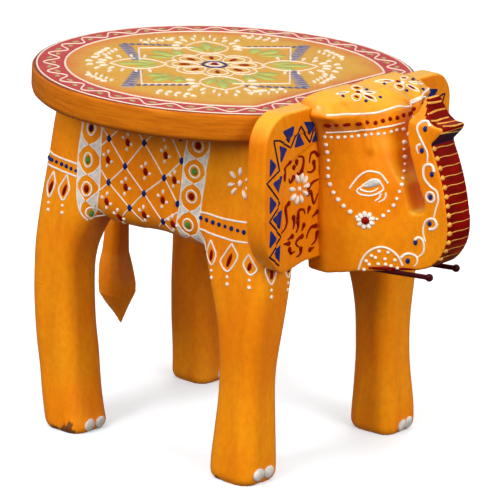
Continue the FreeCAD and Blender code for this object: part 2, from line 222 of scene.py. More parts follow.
def ground_coat(name, stretch=(1, 1, 0.22), worn=()):
    """Orange ground coat under varnish, brushed along the wood, with painted top light on upper faces."""
    finish = Finish(name, 0.36, 0.3)
    broad = finish.span(finish.noise(16, detail=2), 0.3, 0.72)
    brushed = finish.span(finish.noise(95, stretch, 4, 0.65, 0.3), 0.32, 0.72)
    mottled = finish.span(finish.noise(330, (1, 1, 0.6), 3, 0.6), 0.35, 0.7)
    speck = finish.span(finish.noise(700, detail=1), 0.71, 0.77)
    # Painted top light: faces that turn upwards are glazed lighter and yellower, as if lit from above
    upper = finish.span(finish.axis("Z", finish.node("NewGeometry")["Normal"]), 0.1, 0.9)
    colour = "ground"
    for over, share, strength in (
            ("ground_light", broad, 0.7), ("ground_deep", brushed, 0.3),
            ("ground_deep", mottled, 0.22), ("wood", speck, 0.35), ("ground_painted_top_light", upper, 0.66)):
        colour = finish.glaze(colour, over, share, strength)
    for spot, reach in worn:
        away = finish.node("VectorMath", {0: finish.place, 1: Vector(spot) * MM},
                           operation="DISTANCE")["Value"]
        ragged = finish.maths("MULTIPLY", finish.noise(150, (1, 1, 0.6), 4), 16 * MM)
        gap = finish.maths("ADD", away, ragged)
        bare = finish.span(gap, (reach + 7) * MM, (reach + 9) * MM, 1.0, 0.0)
        wood = finish.mix(finish.noise(300, (1, 1, 0.2), 4), "wood", srgb(150, 92, 48))
        colour = finish.mix(bare, colour, wood)
    rough = finish.span(finish.noise(60, stretch), 0.3, 0.7, 0.27, 0.45)
    normal = finish.bump(finish.noise(240, stretch), 0.22, 0.25)
    normal = finish.bump(finish.noise(45, stretch, 2), 0.35, 0.8, normal)
    return finish.done(colour, normal, rough)


def enamel(name, colour, deep=0.72, rough=0.36, gloss=0.22):
    """A brushed paint: one colour, thinner and thicker by its strokes."""
    finish = Finish(name, rough, 0.02, gloss)
    strokes = finish.span(finish.noise(260, rough=0.6), 0.3, 0.7)
    dark = [channel * deep for channel in colour[:3]] + [1.0]
    mixed = finish.mix(strokes, dark, list(colour))
    return finish.done(mixed, finish.bump(finish.noise(520, detail=2), 0.25, 0.2))


def seat_paint():
    """Yellow field, red border and orange rim, by distance from the seat's middle."""
    finish = Finish("painted_seat", 0.4, 0.02, 0.1)
    shifted = finish.node("Mapping", {"Vector": finish.place, "Location": (-SEAT_X * MM, 0, 0)})
    x, y = (finish.axis(name, shifted["Vector"]) for name in "XY")
    square = finish.maths("ADD", finish.maths("MULTIPLY", x, x), finish.maths("MULTIPLY", y, y))
    # The border follows the rim and the straight front alike
    outward = finish.maths("MAXIMUM", finish.maths("SQRT", square),
                           finish.maths("ADD", x, 24.5 * MM))
    blurred = finish.maths("ADD", outward, finish.maths("MULTIPLY", finish.noise(60), 14 * MM))
    cloud = finish.span(finish.noise(34, detail=4, rough=0.6), 0.35, 0.7)
    field = finish.glaze("field", srgb(196, 136, 38), cloud, 0.4)
    field = finish.mix(finish.span(blurred, 93 * MM, 117 * MM), field, "field_edge")
    strokes = finish.span(finish.noise(190, detail=4, rough=0.65), 0.3, 0.7)
    red = finish.glaze("border", srgb(156, 36, 44), strokes, 0.5)
    along = finish.span(finish.noise(42, (1, 1, 13), 5, 0.7), 0.32, 0.68)
    rim = finish.glaze(srgb(216, 124, 20), srgb(170, 78, 10), along, 0.6)
    height = finish.axis("Z", finish.place)
    foot = finish.span(height, SEAT_LOW.z + 1 * MM, SEAT_LOW.z + 4.5 * MM, 0.45, 0.0)
    rim = finish.mix(foot, rim, srgb(112, 48, 14))
    # From the middle outwards: the field, the border, a thin dark line and the rim
    top = field
    for start, end, colour in ((103.2, 103.8, red), (122.2, 122.8, srgb(118, 50, 34)),
                               (123.4, 124.2, rim)):
        top = finish.mix(finish.span(outward, start * MM, end * MM), top, colour)
    upper = finish.span(height, SEAT_HIGH.z - 1.6 * MM, SEAT_HIGH.z - 0.7 * MM)
    normal = finish.bump(finish.noise(210), 0.2, 0.25)
    normal = finish.bump(finish.noise(40, detail=2), 0.3, 0.8, normal)
    rough = finish.span(finish.noise(70), 0.3, 0.7, 0.26, 0.42)
    return finish.done(finish.mix(upper, rim, top), normal, rough)


def trunk_paint(name):
    """The trunk's dark red, worn to brown towards its lower end."""
    finish = Finish(name, 0.4, 0.02, 0.06)
    strokes = finish.span(finish.noise(220, (1, 0.3, 1), 4, 0.65), 0.3, 0.7)
    red = finish.mix(strokes, srgb(106, 4, 0), "trunk_red")
    worn = finish.mix(strokes, srgb(112, 34, 12), srgb(176, 82, 34))
    low = finish.span(finish.axis("Z", finish.place), 146 * MM, 172 * MM, 0.8, 0.0)
    return finish.done(finish.mix(low, red, worn))


def paint(colour):
    """The brushed paint of one colour, made when it is first asked for."""
    name = colour + "_paint"
    known = bpy.data.materials.get(name)
    if colour == "trunk_red":
        return known or trunk_paint(name)
    deep = 0.86 if colour in ("white", "ivory", "leaf") else 0.7
    return known or enamel(name, getattr(colours(), colour), deep, gloss=0.16)


# Making and joining pieces


def add_object(name, data):
    obj = bpy.data.objects.new(name, data)
    bpy.context.scene.collection.objects.link(obj)
    return obj


def mesh_from(bm, name):
    """The faces of a bmesh, which is freed, as a mesh."""
    mesh = bpy.data.meshes.new(name)
    bm.to_mesh(mesh)
    bm.free()
    return mesh


def absorb(bm, mesh):
    """Adds a mesh's faces to a bmesh and removes the mesh."""
    bm.from_mesh(mesh)
    bpy.data.meshes.remove(mesh)


def finished_mesh(obj):
    """The mesh that an object's modifiers or bevel make of it."""
    graph = bpy.context.evaluated_depsgraph_get()
    return bpy.data.meshes.new_from_object(obj.evaluated_get(graph))


def modify(obj, kind, **settings):
    modifier = obj.modifiers.new(kind, kind)
    for key, value in settings.items():
        setattr(modifier, key, value)


def settle(obj):
    """Puts what the modifiers make into the object's own mesh."""
    mesh = finished_mesh(obj)
    obj.modifiers.clear()
    obj.data = mesh
    mesh.name = obj.name


def smooth_shading(obj, angle=None):
    """Shades an object smooth, apart from edges that are sharper than the angle."""
    obj.data.shade_smooth()
    if angle:
        obj.data.set_sharp_from_angle(angle=angle)


def carry(obj, material, nodes=()):
    obj.data.materials.clear()
    obj.data.materials.append(material)
    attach(obj, BODY)
    if nodes:
        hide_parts(*nodes)


def blank(name, nodes):
    """A copy of CAD solids with their loose triangles merged, as the block to carve."""
    whole = bmesh.new()
    for node in nodes:
        solid = bmesh.new()
        solid.from_mesh(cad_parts[node].data)
        bmesh.ops.remove_doubles(solid, verts=solid.verts, dist=0.002 * MM)
        absorb(whole, mesh_from(solid, "part"))
    return add_object(name, mesh_from(whole, name))


def keep_largest(obj):
    """Deletes the closed pockets that the remesh leaves inside."""
    bm = bmesh.new()
    bm.from_mesh(obj.data)
    left, islands = set(bm.verts), []
    while left:
        stack = [left.pop()]
        island = set(stack)
        while stack:
            vert = stack.pop()
            beside = {edge.other_vert(vert) for edge in vert.link_edges} - island
            island |= beside
            stack.extend(beside)
        left -= island
        islands.append(island)
    for island in sorted(islands, key=len)[:-1]:
        bmesh.ops.delete(bm, geom=list(island), context="VERTS")
    bm.to_mesh(obj.data)
    bm.free()


def rough_out(obj, grain, rounds, softness=None):
    """Turns the block into an even skin and softens its edges as a rasp does.

    Softness gives each place's share of the smoothing, where some edges stay crisp.
    """
    modify(obj, "REMESH", mode="VOXEL", voxel_size=grain)
    settle(obj)
    keep_largest(obj)
    group = obj.vertex_groups.new(name="softness")
    for vert in obj.data.vertices if softness else ():
        group.add([vert.index], softness(vert.co / MM), "REPLACE")
    modify(obj, "SMOOTH", factor=0.5, iterations=rounds,
           vertex_group=group.name if softness else "")
    settle(obj)
    obj.vertex_groups.clear()


def shape_by(obj, *forms):
    """Moves each vertex by what each form in turn says of its place and normal."""
    mesh = obj.data
    places, normals = ([0.0] * (3 * len(mesh.vertices)) for _ in range(2))
    for form in forms:
        mesh.vertices.foreach_get("co", places)
        mesh.vertex_normals.foreach_get("vector", normals)
        for i in range(0, len(places), 3):
            place = Vector(places[i:i + 3])
            places[i:i + 3] = place + form(place, Vector(normals[i:i + 3]))
        mesh.vertices.foreach_set("co", places)
        mesh.update()


def carve(name, node, slot, coat, grain, rounds, *forms, softness=None):
    """One piece, carved from the skin of its solid and coated."""
    piece = blank(name + "_carved", [node])
    rough_out(piece, grain, rounds, softness)
    shape_by(piece, *forms)
    smooth_shading(piece)
    carry(piece, coat, [node])


def ease(value, low, high):
    """A share that rises smoothly from 0 at low to 1 at high."""
    share = min(max((value - low) / (high - low), 0.0), 1.0)
    return share * share * (3 - 2 * share)


def knife_marks(depth, width, length, wave):
    """Long shallow cuts side by side, on a slow unevenness of the hand."""
    def move(place, normal):
        spot = Vector((place.x / width, place.y / width, place.z / length))
        near = noise.voronoi(spot)[0][0]
        slow = noise.noise(place / (28 * MM))
        return normal * (depth * (min(near, 1.0) ** 2 - 0.3) + wave * slow)
    return move


def abreast(border, height):
    """How far ahead a line that runs down the wood stands at a height."""
    for (x, z), (below_x, below_z) in zip(border, border[1:]):
        if height >= below_z:
            return x + (below_x - x) * (z - height) / (z - below_z)
    return border[-1][0]


# Carved pieces


# How far a cheek turns from the side towards the front, and a crown's drawing leans back
RAKE = math.radians(37.8)
TILT = math.radians(16.75)
# An edge that stays crisp where the block was sawn
CRISP = math.radians(50)


class STOOL_OT_seat(Operator):
    """Turn the seat board from its solid and give it its painted ground."""

    bl_idname = "stool.seat"
    bl_label = "Seat"

    def execute(self, context):
        carve("seat", "seat_board", "painted_seat", seat_paint(), sizes().seat_grain, 2,
              seat_unevenness)
        return {"FINISHED"}


def seat_unevenness(place, normal):
    """The rim is hand turned and wavers, and the top is nearly flat."""
    side = 1 - abs(normal.z)
    slow = noise.noise(place / (22 * MM))
    fine = noise.noise(place / (7 * MM))
    return normal * (side * (0.42 * slow + 0.1 * fine - 0.12) + 0.05 * slow) * MM


# Where the feet are chipped to the wood, and how far the chip reaches
WORN_SPOTS = (((-95, -87, 0), 5), ((-85, -87, 1), 6), ((-84, -87, 4), 4), ((-116, -86, 0), 2),
              ((40, -83, 0), 3), ((62, 40, 0), 3), ((-120, 60, 0), 4))


class STOOL_OT_body(Operator):
    """Carve the body and its four legs as one block, then part them where they were joined."""

    bl_idname = "stool.body"
    bl_label = "Body and legs"

    def execute(self, context):
        block = blank("block", ["body_block", *LEGS])
        rough_out(block, sizes().body_grain, 5)
        marks = knife_marks(sizes().mark_depth, sizes().mark_width, sizes().mark_length, 0.5 * MM)
        shape_by(block, marks, belly_form, flat_soles)
        coat = ground_coat("painted_body")
        leg_coat = ground_coat("painted_legs", worn=WORN_SPOTS)
        corners = [self.corner(name) for name in LEGS]
        for name, corner in zip(LEGS, corners):
            self.part(block, name, name, "painted_legs", leg_coat, "INTERSECT", [corner])
        self.part(block, "body", "body_block", "painted_body", coat, "DIFFERENCE", corners)
        for tool in [block, *corners]:
            bpy.data.objects.remove(tool)
        return {"FINISHED"}

    def corner(self, name):
        """A box round one corner of the block, as far inwards as the leg's solid goes."""
        low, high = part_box(name)
        side = -1 if "right" in name else 1
        inner = side * (min(abs(low.y), abs(high.y)) - 1 * MM)
        end = low.x - 1 * MM if "front" in name else high.x + 1 * MM
        far_end = FAR if "front" in name else -FAR
        bm = bmesh.new()
        bmesh.ops.create_cube(bm, size=1.0)
        scale = (abs(far_end - end), abs(side * FAR - inner), 1.0)
        bmesh.ops.scale(bm, vec=scale, verts=bm.verts)
        middle = ((end + far_end) / 2, (inner + side * FAR) / 2, 0.1)
        bmesh.ops.translate(bm, vec=middle, verts=bm.verts)
        return add_object("corner", mesh_from(bm, "corner"))

    def part(self, block, name, node, slot, coat, operation, corners):
        """One piece of the block, cut out by the corners' boxes."""
        piece = add_object(name + "_carved", block.data.copy())
        for corner in corners:
            modify(piece, "BOOLEAN", operation=operation, solver="MANIFOLD", object=corner)
        settle(piece)
        smooth_shading(piece, CRISP)
        carry(piece, coat, [node])


def belly_form(place, normal):
    """Lets the belly hang lower between the legs, most of all towards the rear."""
    x, _, z = place / MM
    drop = 3.2 + 2.3 * ease(-x, 20, 60) + 2.8 * ease(x, -25, 5)
    drop *= ease(x, -82, -64) * (1 - ease(x, 14, 30))
    drop *= ease(z, 118, 140) * (1 - ease(z, 165, 200))
    return Vector((0, 0, -drop * MM))


def flat_soles(place, normal):
    """The feet stand level on the floor, with their lower edges rubbed round."""
    worn = 1.8 * MM * max(1 - place.z / (6 * MM), 0) ** 2
    down = -place.z if place.z < 0.6 * MM else 0
    return Vector((-normal.x * worn, -normal.y * worn, down))


# The gouged hollow between the forehead and the trunk: its middle from the top down, ahead and up
HOLLOW = ((116, 256), (116, 222), (123, 207), (130, 195), (132, 183), (132, 130))
# Soft ridges down the cheek and over the crown, in the skewed drawing's places
CHEEK_RIDGE = ((43.5, 217), (52, 212), (57.5, 207), (60.5, 201.5), (64, 192.5), (66, 186.5),
               (67.5, 181.5))
CROWN_RIDGE = ((67, 228.5), (74, 223), (83.5, 218.5), (89, 215))


def head_softness(spot):
    """The face is rubbed smooth, and the trunk keeps its crisp edges."""
    hollow = abreast(HOLLOW, spot.z)
    return 1 - 0.8 * ease(spot.x, hollow - 1, hollow + 3) * ease(15 - abs(spot.y), 0, 2)


def ridge_height(ridge, x, width, z):
    """A soft ridge's height beside a line on the skewed drawing, lower towards its ends."""
    u = x * math.cos(RAKE) + width * math.sin(RAKE)
    v = z * math.cos(TILT) + (width * math.cos(RAKE) - x * math.sin(RAKE)) * math.sin(TILT)
    top, foot = ridge[0][1], ridge[-1][1]
    if not foot < v < top:
        return 0
    ends = ease(v, foot, foot + 6) * ease(-v, -top, 3 - top)
    return 2.2 * ends * max(1 - abs(u - abreast(ridge, v)) / 3.8, 0)


def face_form(place, normal):
    """Rounds the forehead, widens the trunk's flat sides and raises two soft ridges."""
    x, y, z = place / MM
    side = abs(y)
    hollow = abreast(HOLLOW, z)
    move = Vector((0, 0, 0))
    if x < hollow:
        round_part = max(1 - (side / 22) ** 2, 0)
        move.x = 7 * ease(z, 203, 222) + 3.5 * ease(z, 220, 236)
        move.x *= round_part * ease(x, 84, 97)
    elif side < 14:
        back = 5.5 * ease(z, 182, 200) - 2.5 * ease(z, 218, 228) - 3 * ease(z, 240, 246)
        move.x = -back * (1 - ease(x, hollow + 8, hollow + 18))
    # Room in front of the trunk for its raised paint
    move.x -= 1.8 * ease(x, 142, 158)
    if x < hollow and z > 190:
        move += normal * ridge_height(CHEEK_RIDGE, x, -side, z)
        move += normal * ridge_height(CROWN_RIDGE, x, y, z)
    return move * MM


class STOOL_OT_head(Operator):
    """Carve the head and its curled trunk."""

    bl_idname = "stool.head"
    bl_label = "Head"

    def execute(self, context):
        coat = ground_coat("painted_head", (1, 1, 0.5))
        marks = knife_marks(0.3 * MM, 10 * MM, 26 * MM, 0.35 * MM)
        carve("head", "head_block", "painted_head", coat, sizes().head_grain, 14, face_form,
              marks, softness=head_softness)
        return {"FINISHED"}


class STOOL_OT_ears(Operator):
    """Carve the two ears."""

    bl_idname = "stool.ears"
    bl_label = "Ears"

    def execute(self, context):
        coat = ground_coat("painted_ears")
        marks = knife_marks(0.16 * MM, 9 * MM, 24 * MM, 0.25 * MM)
        for ear in ("right_ear", "left_ear"):
            carve(ear, ear, "painted_ears", coat, sizes().head_grain, 2, ear_panel, marks)
        return {"FINISHED"}


def ear_panel(place, normal):
    """The scrollwork's field is cut back a little behind the ear's painted border."""
    side, z = abs(place.y) / MM, place.z / MM
    top = 213 + (76 - side) * 0.38
    inside = ease(77 - side, 0, 1.6) * ease(top - z, 0, 1.6)
    return Vector((-1.1 * MM * inside * ease(normal.x, 0.2, 0.8), 0, 0))


class STOOL_OT_tail(Operator):
    """Carve the hanging tail."""

    bl_idname = "stool.tail"
    bl_label = "Tail"

    def execute(self, context):
        coat = ground_coat("painted_tail")
        marks = knife_marks(0.2 * MM, 8 * MM, 14 * MM, 0.25 * MM)
        carve("tail", "tail", "painted_tail", coat, sizes().head_grain, 2, tail_form, marks)
        return {"FINISHED"}


def tail_form(place, normal):
    """Fills the tail out above its tuft and stands it a little farther back."""
    x, y, z = place / MM
    held = ease(z, 52, 66) * (1 - ease(z, 165, 190))
    wider = held * (0.12 + 0.2 * ease(z, 72, 95))
    back = held * (1 + 2.6 * ease(z, 72, 98))
    return Vector(((x + 117.5) * wider - back, y * wider, 0)) * MM


class STOOL_OT_small_wood(Operator):
    """Finish the tusks and the hidden dowels, which keep their solids."""

    bl_idname = "stool.small_wood"
    bl_label = "Tusks and dowels"

    def execute(self, context):
        tusk = enamel("painted_tusks", srgb(64, 6, 18), rough=0.3)
        finish = Finish("bare_dowel", 0.62)
        grain = finish.span(finish.noise(240, (1, 0.15, 1), 4), 0.3, 0.7)
        beech = finish.mix(grain, srgb(176, 128, 84), srgb(206, 164, 116))
        dowel = finish.done(beech, finish.bump(grain, 0.2, 0.2))
        for name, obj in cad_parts.items():
            if "dowels" in name or "tusk" in name:
                for slot in obj.material_slots:
                    slot.material = dowel if "dowels" in name else tusk
        return {"FINISHED"}


# Raised paint


def run(points, closed=False, smooth=True, step=1.5):
    """Even steps through the points, along smooth bends or along straight strokes."""
    spots = [Vector(point) for point in points]
    if closed:
        ring = spots[-1:] + spots + spots[:2]
    else:
        ring = [2 * spots[0] - spots[1], *spots, 2 * spots[-1] - spots[-2]]
    steps = []
    for before, start, end, after in zip(ring, ring[1:], ring[2:], ring[3:]):
        turns = max(1, round((end - start).length / step))
        for turn in range(turns):
            t = turn / turns
            spot = start.lerp(end, t)
            if smooth:
                spot = 0.5 * (2 * start + (end - before) * t
                              + (2 * before - 5 * start + 4 * end - after) * t ** 2
                              + (3 * start - before - 3 * end + after) * t ** 3)
            steps.append(spot)
    if not closed:
        steps.append(spots[-1])
    return steps


def turned(point, angle, middle=(0, 0)):
    """The point turned by degrees about the origin, then moved to the middle."""
    turn = math.radians(angle)
    x, y = point
    return (middle[0] + x * math.cos(turn) - y * math.sin(turn),
            middle[1] + x * math.sin(turn) + y * math.cos(turn))


def oval(middle, width, height, lean=0.0):
    """Twelve points round an oval that leans by an angle in degrees."""
    clock = [math.radians(30 * hour) for hour in range(12)]
    return [turned((width / 2 * math.cos(angle), height / 2 * math.sin(angle)), lean, middle)
            for angle in clock]


class Chart:
    """A flat drawing sheet in millimetres, pressed on the wood along one direction."""

    def __init__(self, across, up, middle=(0, 0, 0), mirrored=False):
        flip = Vector((1, -1 if mirrored else 1, 1))
        self.across = Vector(across) * flip
        self.up = Vector(up) * flip
        self.inward = Vector(up).cross(Vector(across)) * flip
        self.middle = Vector(middle) * flip

    def start(self, point):
        return (self.middle + self.across * point[0] + self.up * point[1]) * MM - self.inward * FAR


def both_sides(across, up):
    return [Chart(across, up, mirrored=mirrored) for mirrored in (False, True)]


SIDES = both_sides((1, 0, 0), (0, 0, 1))
FRONTS = both_sides((0, 1, 0), (0, 0, 1))
CHEEKS = both_sides((math.cos(RAKE), math.sin(RAKE), 0), (0, 0, 1))
# The cheeks, the crown and the trunk's tip as seen from a little above
SKEWED = both_sides((math.cos(RAKE), math.sin(RAKE), 0),
                    (-math.sin(RAKE) * math.sin(TILT), math.cos(RAKE) * math.sin(TILT), math.cos(TILT)))
BACK = [Chart((0, -1, 0), (0, 0, 1))]
SEAT_TOP = [Chart((1, 0, 0), (0, 1, 0), (SEAT_X, 0, 0))]


def skin_of(*carriers):
    """The carved pieces' surface, to lay paint on."""
    whole = bmesh.new()
    for carrier in carriers:
        whole.from_mesh(bpy.data.objects[carrier + "_carved"].data)
    skin = BVHTree.FromBMesh(whole)
    whole.free()
    return skin


class Painting:
    """The paint on one part of the wood, gathered by colour and set down as one piece of each."""

    def __init__(self, name, slot, *carriers):
        self.name = name
        self.slot = slot
        self.skin = skin_of(*carriers)
        self.strokes = {}
        self.marks = {}

    def touch(self, chart, point, last=None):
        """Where a point of the chart meets the wood, with the wood's normal.

        Past an edge of the wood, the paint stays beside the last place that it reached.
        """
        start = chart.start(point)
        place, normal, _, depth = self.skin.ray_cast(start, chart.inward, 2 * FAR)
        reach = (last - start).dot(chart.inward) if last else FAR
        if place is None or last and abs(depth - reach) > EDGE_STEP:
            place, normal, _, _ = self.skin.find_nearest(start + chart.inward * reach)
        return place, normal

    def touches(self, chart, points):
        """Where a row of points meets the wood, followed both ways from its nearest place."""
        depths = []
        for point in points:
            hit = self.skin.ray_cast(chart.start(point), chart.inward, 2 * FAR)
            depths.append(2 * FAR if hit[0] is None else hit[3])
        first = depths.index(min(depths))
        found = {first: self.touch(chart, points[first])}
        for k in [*range(first + 1, len(points)), *range(first - 1, -1, -1)]:
            beside = k - 1 if k > first else k + 1
            found[k] = self.touch(chart, points[k], found[beside][0])
        return [found[k] for k in range(len(points))]

    def sheet(self, colour):
        """The mesh that the next mark goes into, changed for a new one when it is full."""
        sheets = self.marks.setdefault(colour, [])
        if not sheets or len(sheets[-1].faces) > FULL_SHEET:
            sheets.append(bmesh.new())
        return sheets[-1]

    def line(self, charts, colour, points, width=None, closed=False, smooth=True):
        """A raised line. A pair of widths makes it thinner from its start to its end."""
        width = width or sizes().line_width / MM
        first, final = width if isinstance(width, tuple) else (width, width)
        for chart in charts:
            touches = self.touches(chart, run(points, closed, smooth))
            stroke = []
            for k, (place, normal) in enumerate(touches):
                half = 0.5 * (first + (final - first) * k / (len(touches) - 1))
                # A quarter of the line's half width lies in the wood
                place = place - normal * (0.25 * half * MM)
                if not stroke or (place - stroke[-1][0]).length > 0.2 * MM:
                    stroke.append((place, half))
            self.strokes.setdefault(colour, []).append((stroke, closed))

    def petal(self, charts, colour, start, end, width, point=0.5, high=0.4):
        """A mound from its pointed start to its round end."""
        for chart in charts:
            (first, _), (last, _) = self.touches(chart, (start, end))
            place, normal, _, _ = self.skin.find_nearest((first + last) / 2)
            along = (last - first) / 2
            across = normal.cross(along).normalized() * (width / 2 * MM)
            rise = normal * (width * high * MM)
            ball = bmesh.ops.create_uvsphere(self.sheet(colour), u_segments=10, v_segments=6,
                                             radius=1.0)
            for vert in ball["verts"]:
                x, y, z = vert.co
                y *= 1 - point * (1 - x) / 2
                vert.co = place + along * x + across * y + rise * z

    def dab(self, charts, colour, middle, way, width, point=0.5, high=0.4):
        """A petal that reaches as far to both sides of its middle."""
        middle, way = Vector(middle), Vector(way)
        self.petal(charts, colour, middle - way, middle + way, width, point, high)

    def bead(self, charts, colour, point, radius, high=0.4):
        self.dab(charts, colour, point, (radius, 0), 2 * radius, 0.0, high)

    def beads(self, charts, colour, points, count, radius, grow=0.3):
        """Round drops, evenly spaced along a bend, each a little unlike the next."""
        steps = run(points, step=0.25)
        for k in range(count):
            spot = steps[round(k * (len(steps) - 1) / (count - 1))]
            self.bead(charts, colour, spot, radius * (1 + grow * (CHANCE.random() - 0.5)))

    def rosette(self, charts, colour, centre, angles, near, far, width, point, high=0.4):
        """Petals round a centre, with their narrow ends towards it."""
        for angle in angles:
            start, end = (turned((reach, 0), angle, centre) for reach in (near, far))
            self.petal(charts, colour, start, end, width, point, high)

    def patch(self, charts, colour, outline, smooth=True, corner=0.0, grain=3.5):
        """A flat brushed patch inside an outline, closed below the wood's face."""
        spots = run(outline, closed=True, step=2.0) if smooth else outline
        for chart in charts:
            bm = bmesh.new()
            bm.faces.new([bm.verts.new((spot[0], spot[1], 0)) for spot in spots])
            if corner:
                bmesh.ops.bevel(bm, geom=bm.verts[:], offset=corner, affect="VERTICES", segments=2,
                                profile=0.5, material=-1)
            bmesh.ops.triangulate(bm, faces=bm.faces)
            while max(edge.calc_length() for edge in bm.edges) > grain:
                bmesh.ops.subdivide_edges(bm, edges=bm.edges, cuts=1, use_grid_fill=True)
            touches = self.touches(chart, [vert.co.copy() for vert in bm.verts])
            nearest = min(touches, key=lambda found: found[0].dot(chart.inward))[0]
            sunk = {}
            for vert in bm.verts:
                place, normal = self.touch(chart, vert.co, nearest)
                vert.co = place + normal * sizes().paint_lift
                sunk[tuple(vert.co)] = place - normal * SUNK
            lower = bmesh.ops.extrude_face_region(bm, geom=bm.faces[:], use_keep_orig=True)
            for item in lower["geom"]:
                if isinstance(item, bmesh.types.BMVert):
                    item.co = sunk[tuple(item.co)]
            absorb(self.sheet(colour), mesh_from(bm, "patch"))

    def drawn(self, colour):
        """The raised lines of a colour as one mesh."""
        curve = bpy.data.curves.new("strokes", "CURVE")
        curve.dimensions = "3D"
        curve.bevel_depth = MM
        curve.bevel_resolution = 2
        curve.use_fill_caps = True
        for stroke, closed in self.strokes.get(colour, []):
            spline = curve.splines.new("POLY")
            spline.points.add(len(stroke) - 1)
            spline.use_cyclic_u = closed
            for spot, (place, half) in zip(spline.points, stroke):
                spot.co = (*place, 1)
                spot.radius = half
        holder = add_object("strokes", curve)
        mesh = finished_mesh(holder)
        bpy.data.objects.remove(holder)
        return mesh

    def set_down(self):
        """Makes one piece of each colour."""
        for colour in dict.fromkeys([*self.strokes, *self.marks]):
            whole = bmesh.new()
            absorb(whole, self.drawn(colour))
            for sheet in self.marks.get(colour, []):
                absorb(whole, mesh_from(sheet, "marks"))
            bmesh.ops.recalc_face_normals(whole, faces=whole.faces)
            name = self.name + "_" + colour
            piece = add_object(name, mesh_from(whole, name))
            smooth_shading(piece)
            carry(piece, paint(colour))


# The seat's pattern


SEAT_RADIUS = SEAT_HIGH.y / MM
SEAT_FRONT = SEAT_HIGH.x / MM - SEAT_X
# The border's wave: how far it runs inside the rim and the straight front, and its waves on each
WAVE_INSET, WAVE_FRONT_INSET = 12.4, 10.8
ARC_WAVES, FRONT_WAVES = 22, 6
FLOWER = (-9, 0)
# The square's corners, set out from the flower
CORNERS = ((65, -4), (3, 77), (-64, -1), (3, -76))
# How far a white line runs from each corner along the square's sides
SQUARE_ARM = 37
# Lobes of the leaves, each with its start, its end and its width
LEAF_LOBES = (((39, 0), (63, 0), 8), ((37, 3), (52, 10), 7), ((37, -3), (52, -10), 7))
CORNER_LOBES = (((-33, 0), (-12, 0), 9), ((-34, 4), (-20, 13), 8), ((-34, -4), (-20, -13), 8))
# A ragged lobe's outline, as shares of its length and of half its width
LOBE = ((0, 0), (0.3, 0.7), (0.65, 1), (0.92, 0.6), (1, 0), (0.9, -0.6), (0.6, -1), (0.3, -0.6))


def arc(radius, front, count):
    """Angles round the seat's outline, from one end of its straight front towards the other."""
    turn = math.acos(front / radius)
    return [turn + 2 * (math.pi - turn) * k / count for k in range(count + 1)]


def border_path(inset, front_inset):
    """The seat's outline drawn in: a long arc, closed by the straight front."""
    radius, front = SEAT_RADIUS - inset, SEAT_FRONT - front_inset
    return [(radius * math.cos(angle), radius * math.sin(angle)) for angle in arc(radius, front, 240)]


def wave_path(swing, steps=8):
    """Places in a wavy line round the border, which swings out and in once in each wave."""
    radius, front = SEAT_RADIUS - WAVE_INSET, SEAT_FRONT - WAVE_FRONT_INSET
    angles = arc(radius, front, ARC_WAVES * steps)
    half = radius * math.sin(angles[0])
    path = []
    for k, angle in enumerate(angles[:-1]):
        reach = radius + swing * math.sin(2 * math.pi * k / steps)
        path.append((reach * math.cos(angle), reach * math.sin(angle)))
    for k in range(FRONT_WAVES * steps):
        ahead = front + swing * math.sin(2 * math.pi * k / steps)
        path.append((ahead, half * (2 * k / (FRONT_WAVES * steps) - 1)))
    return path


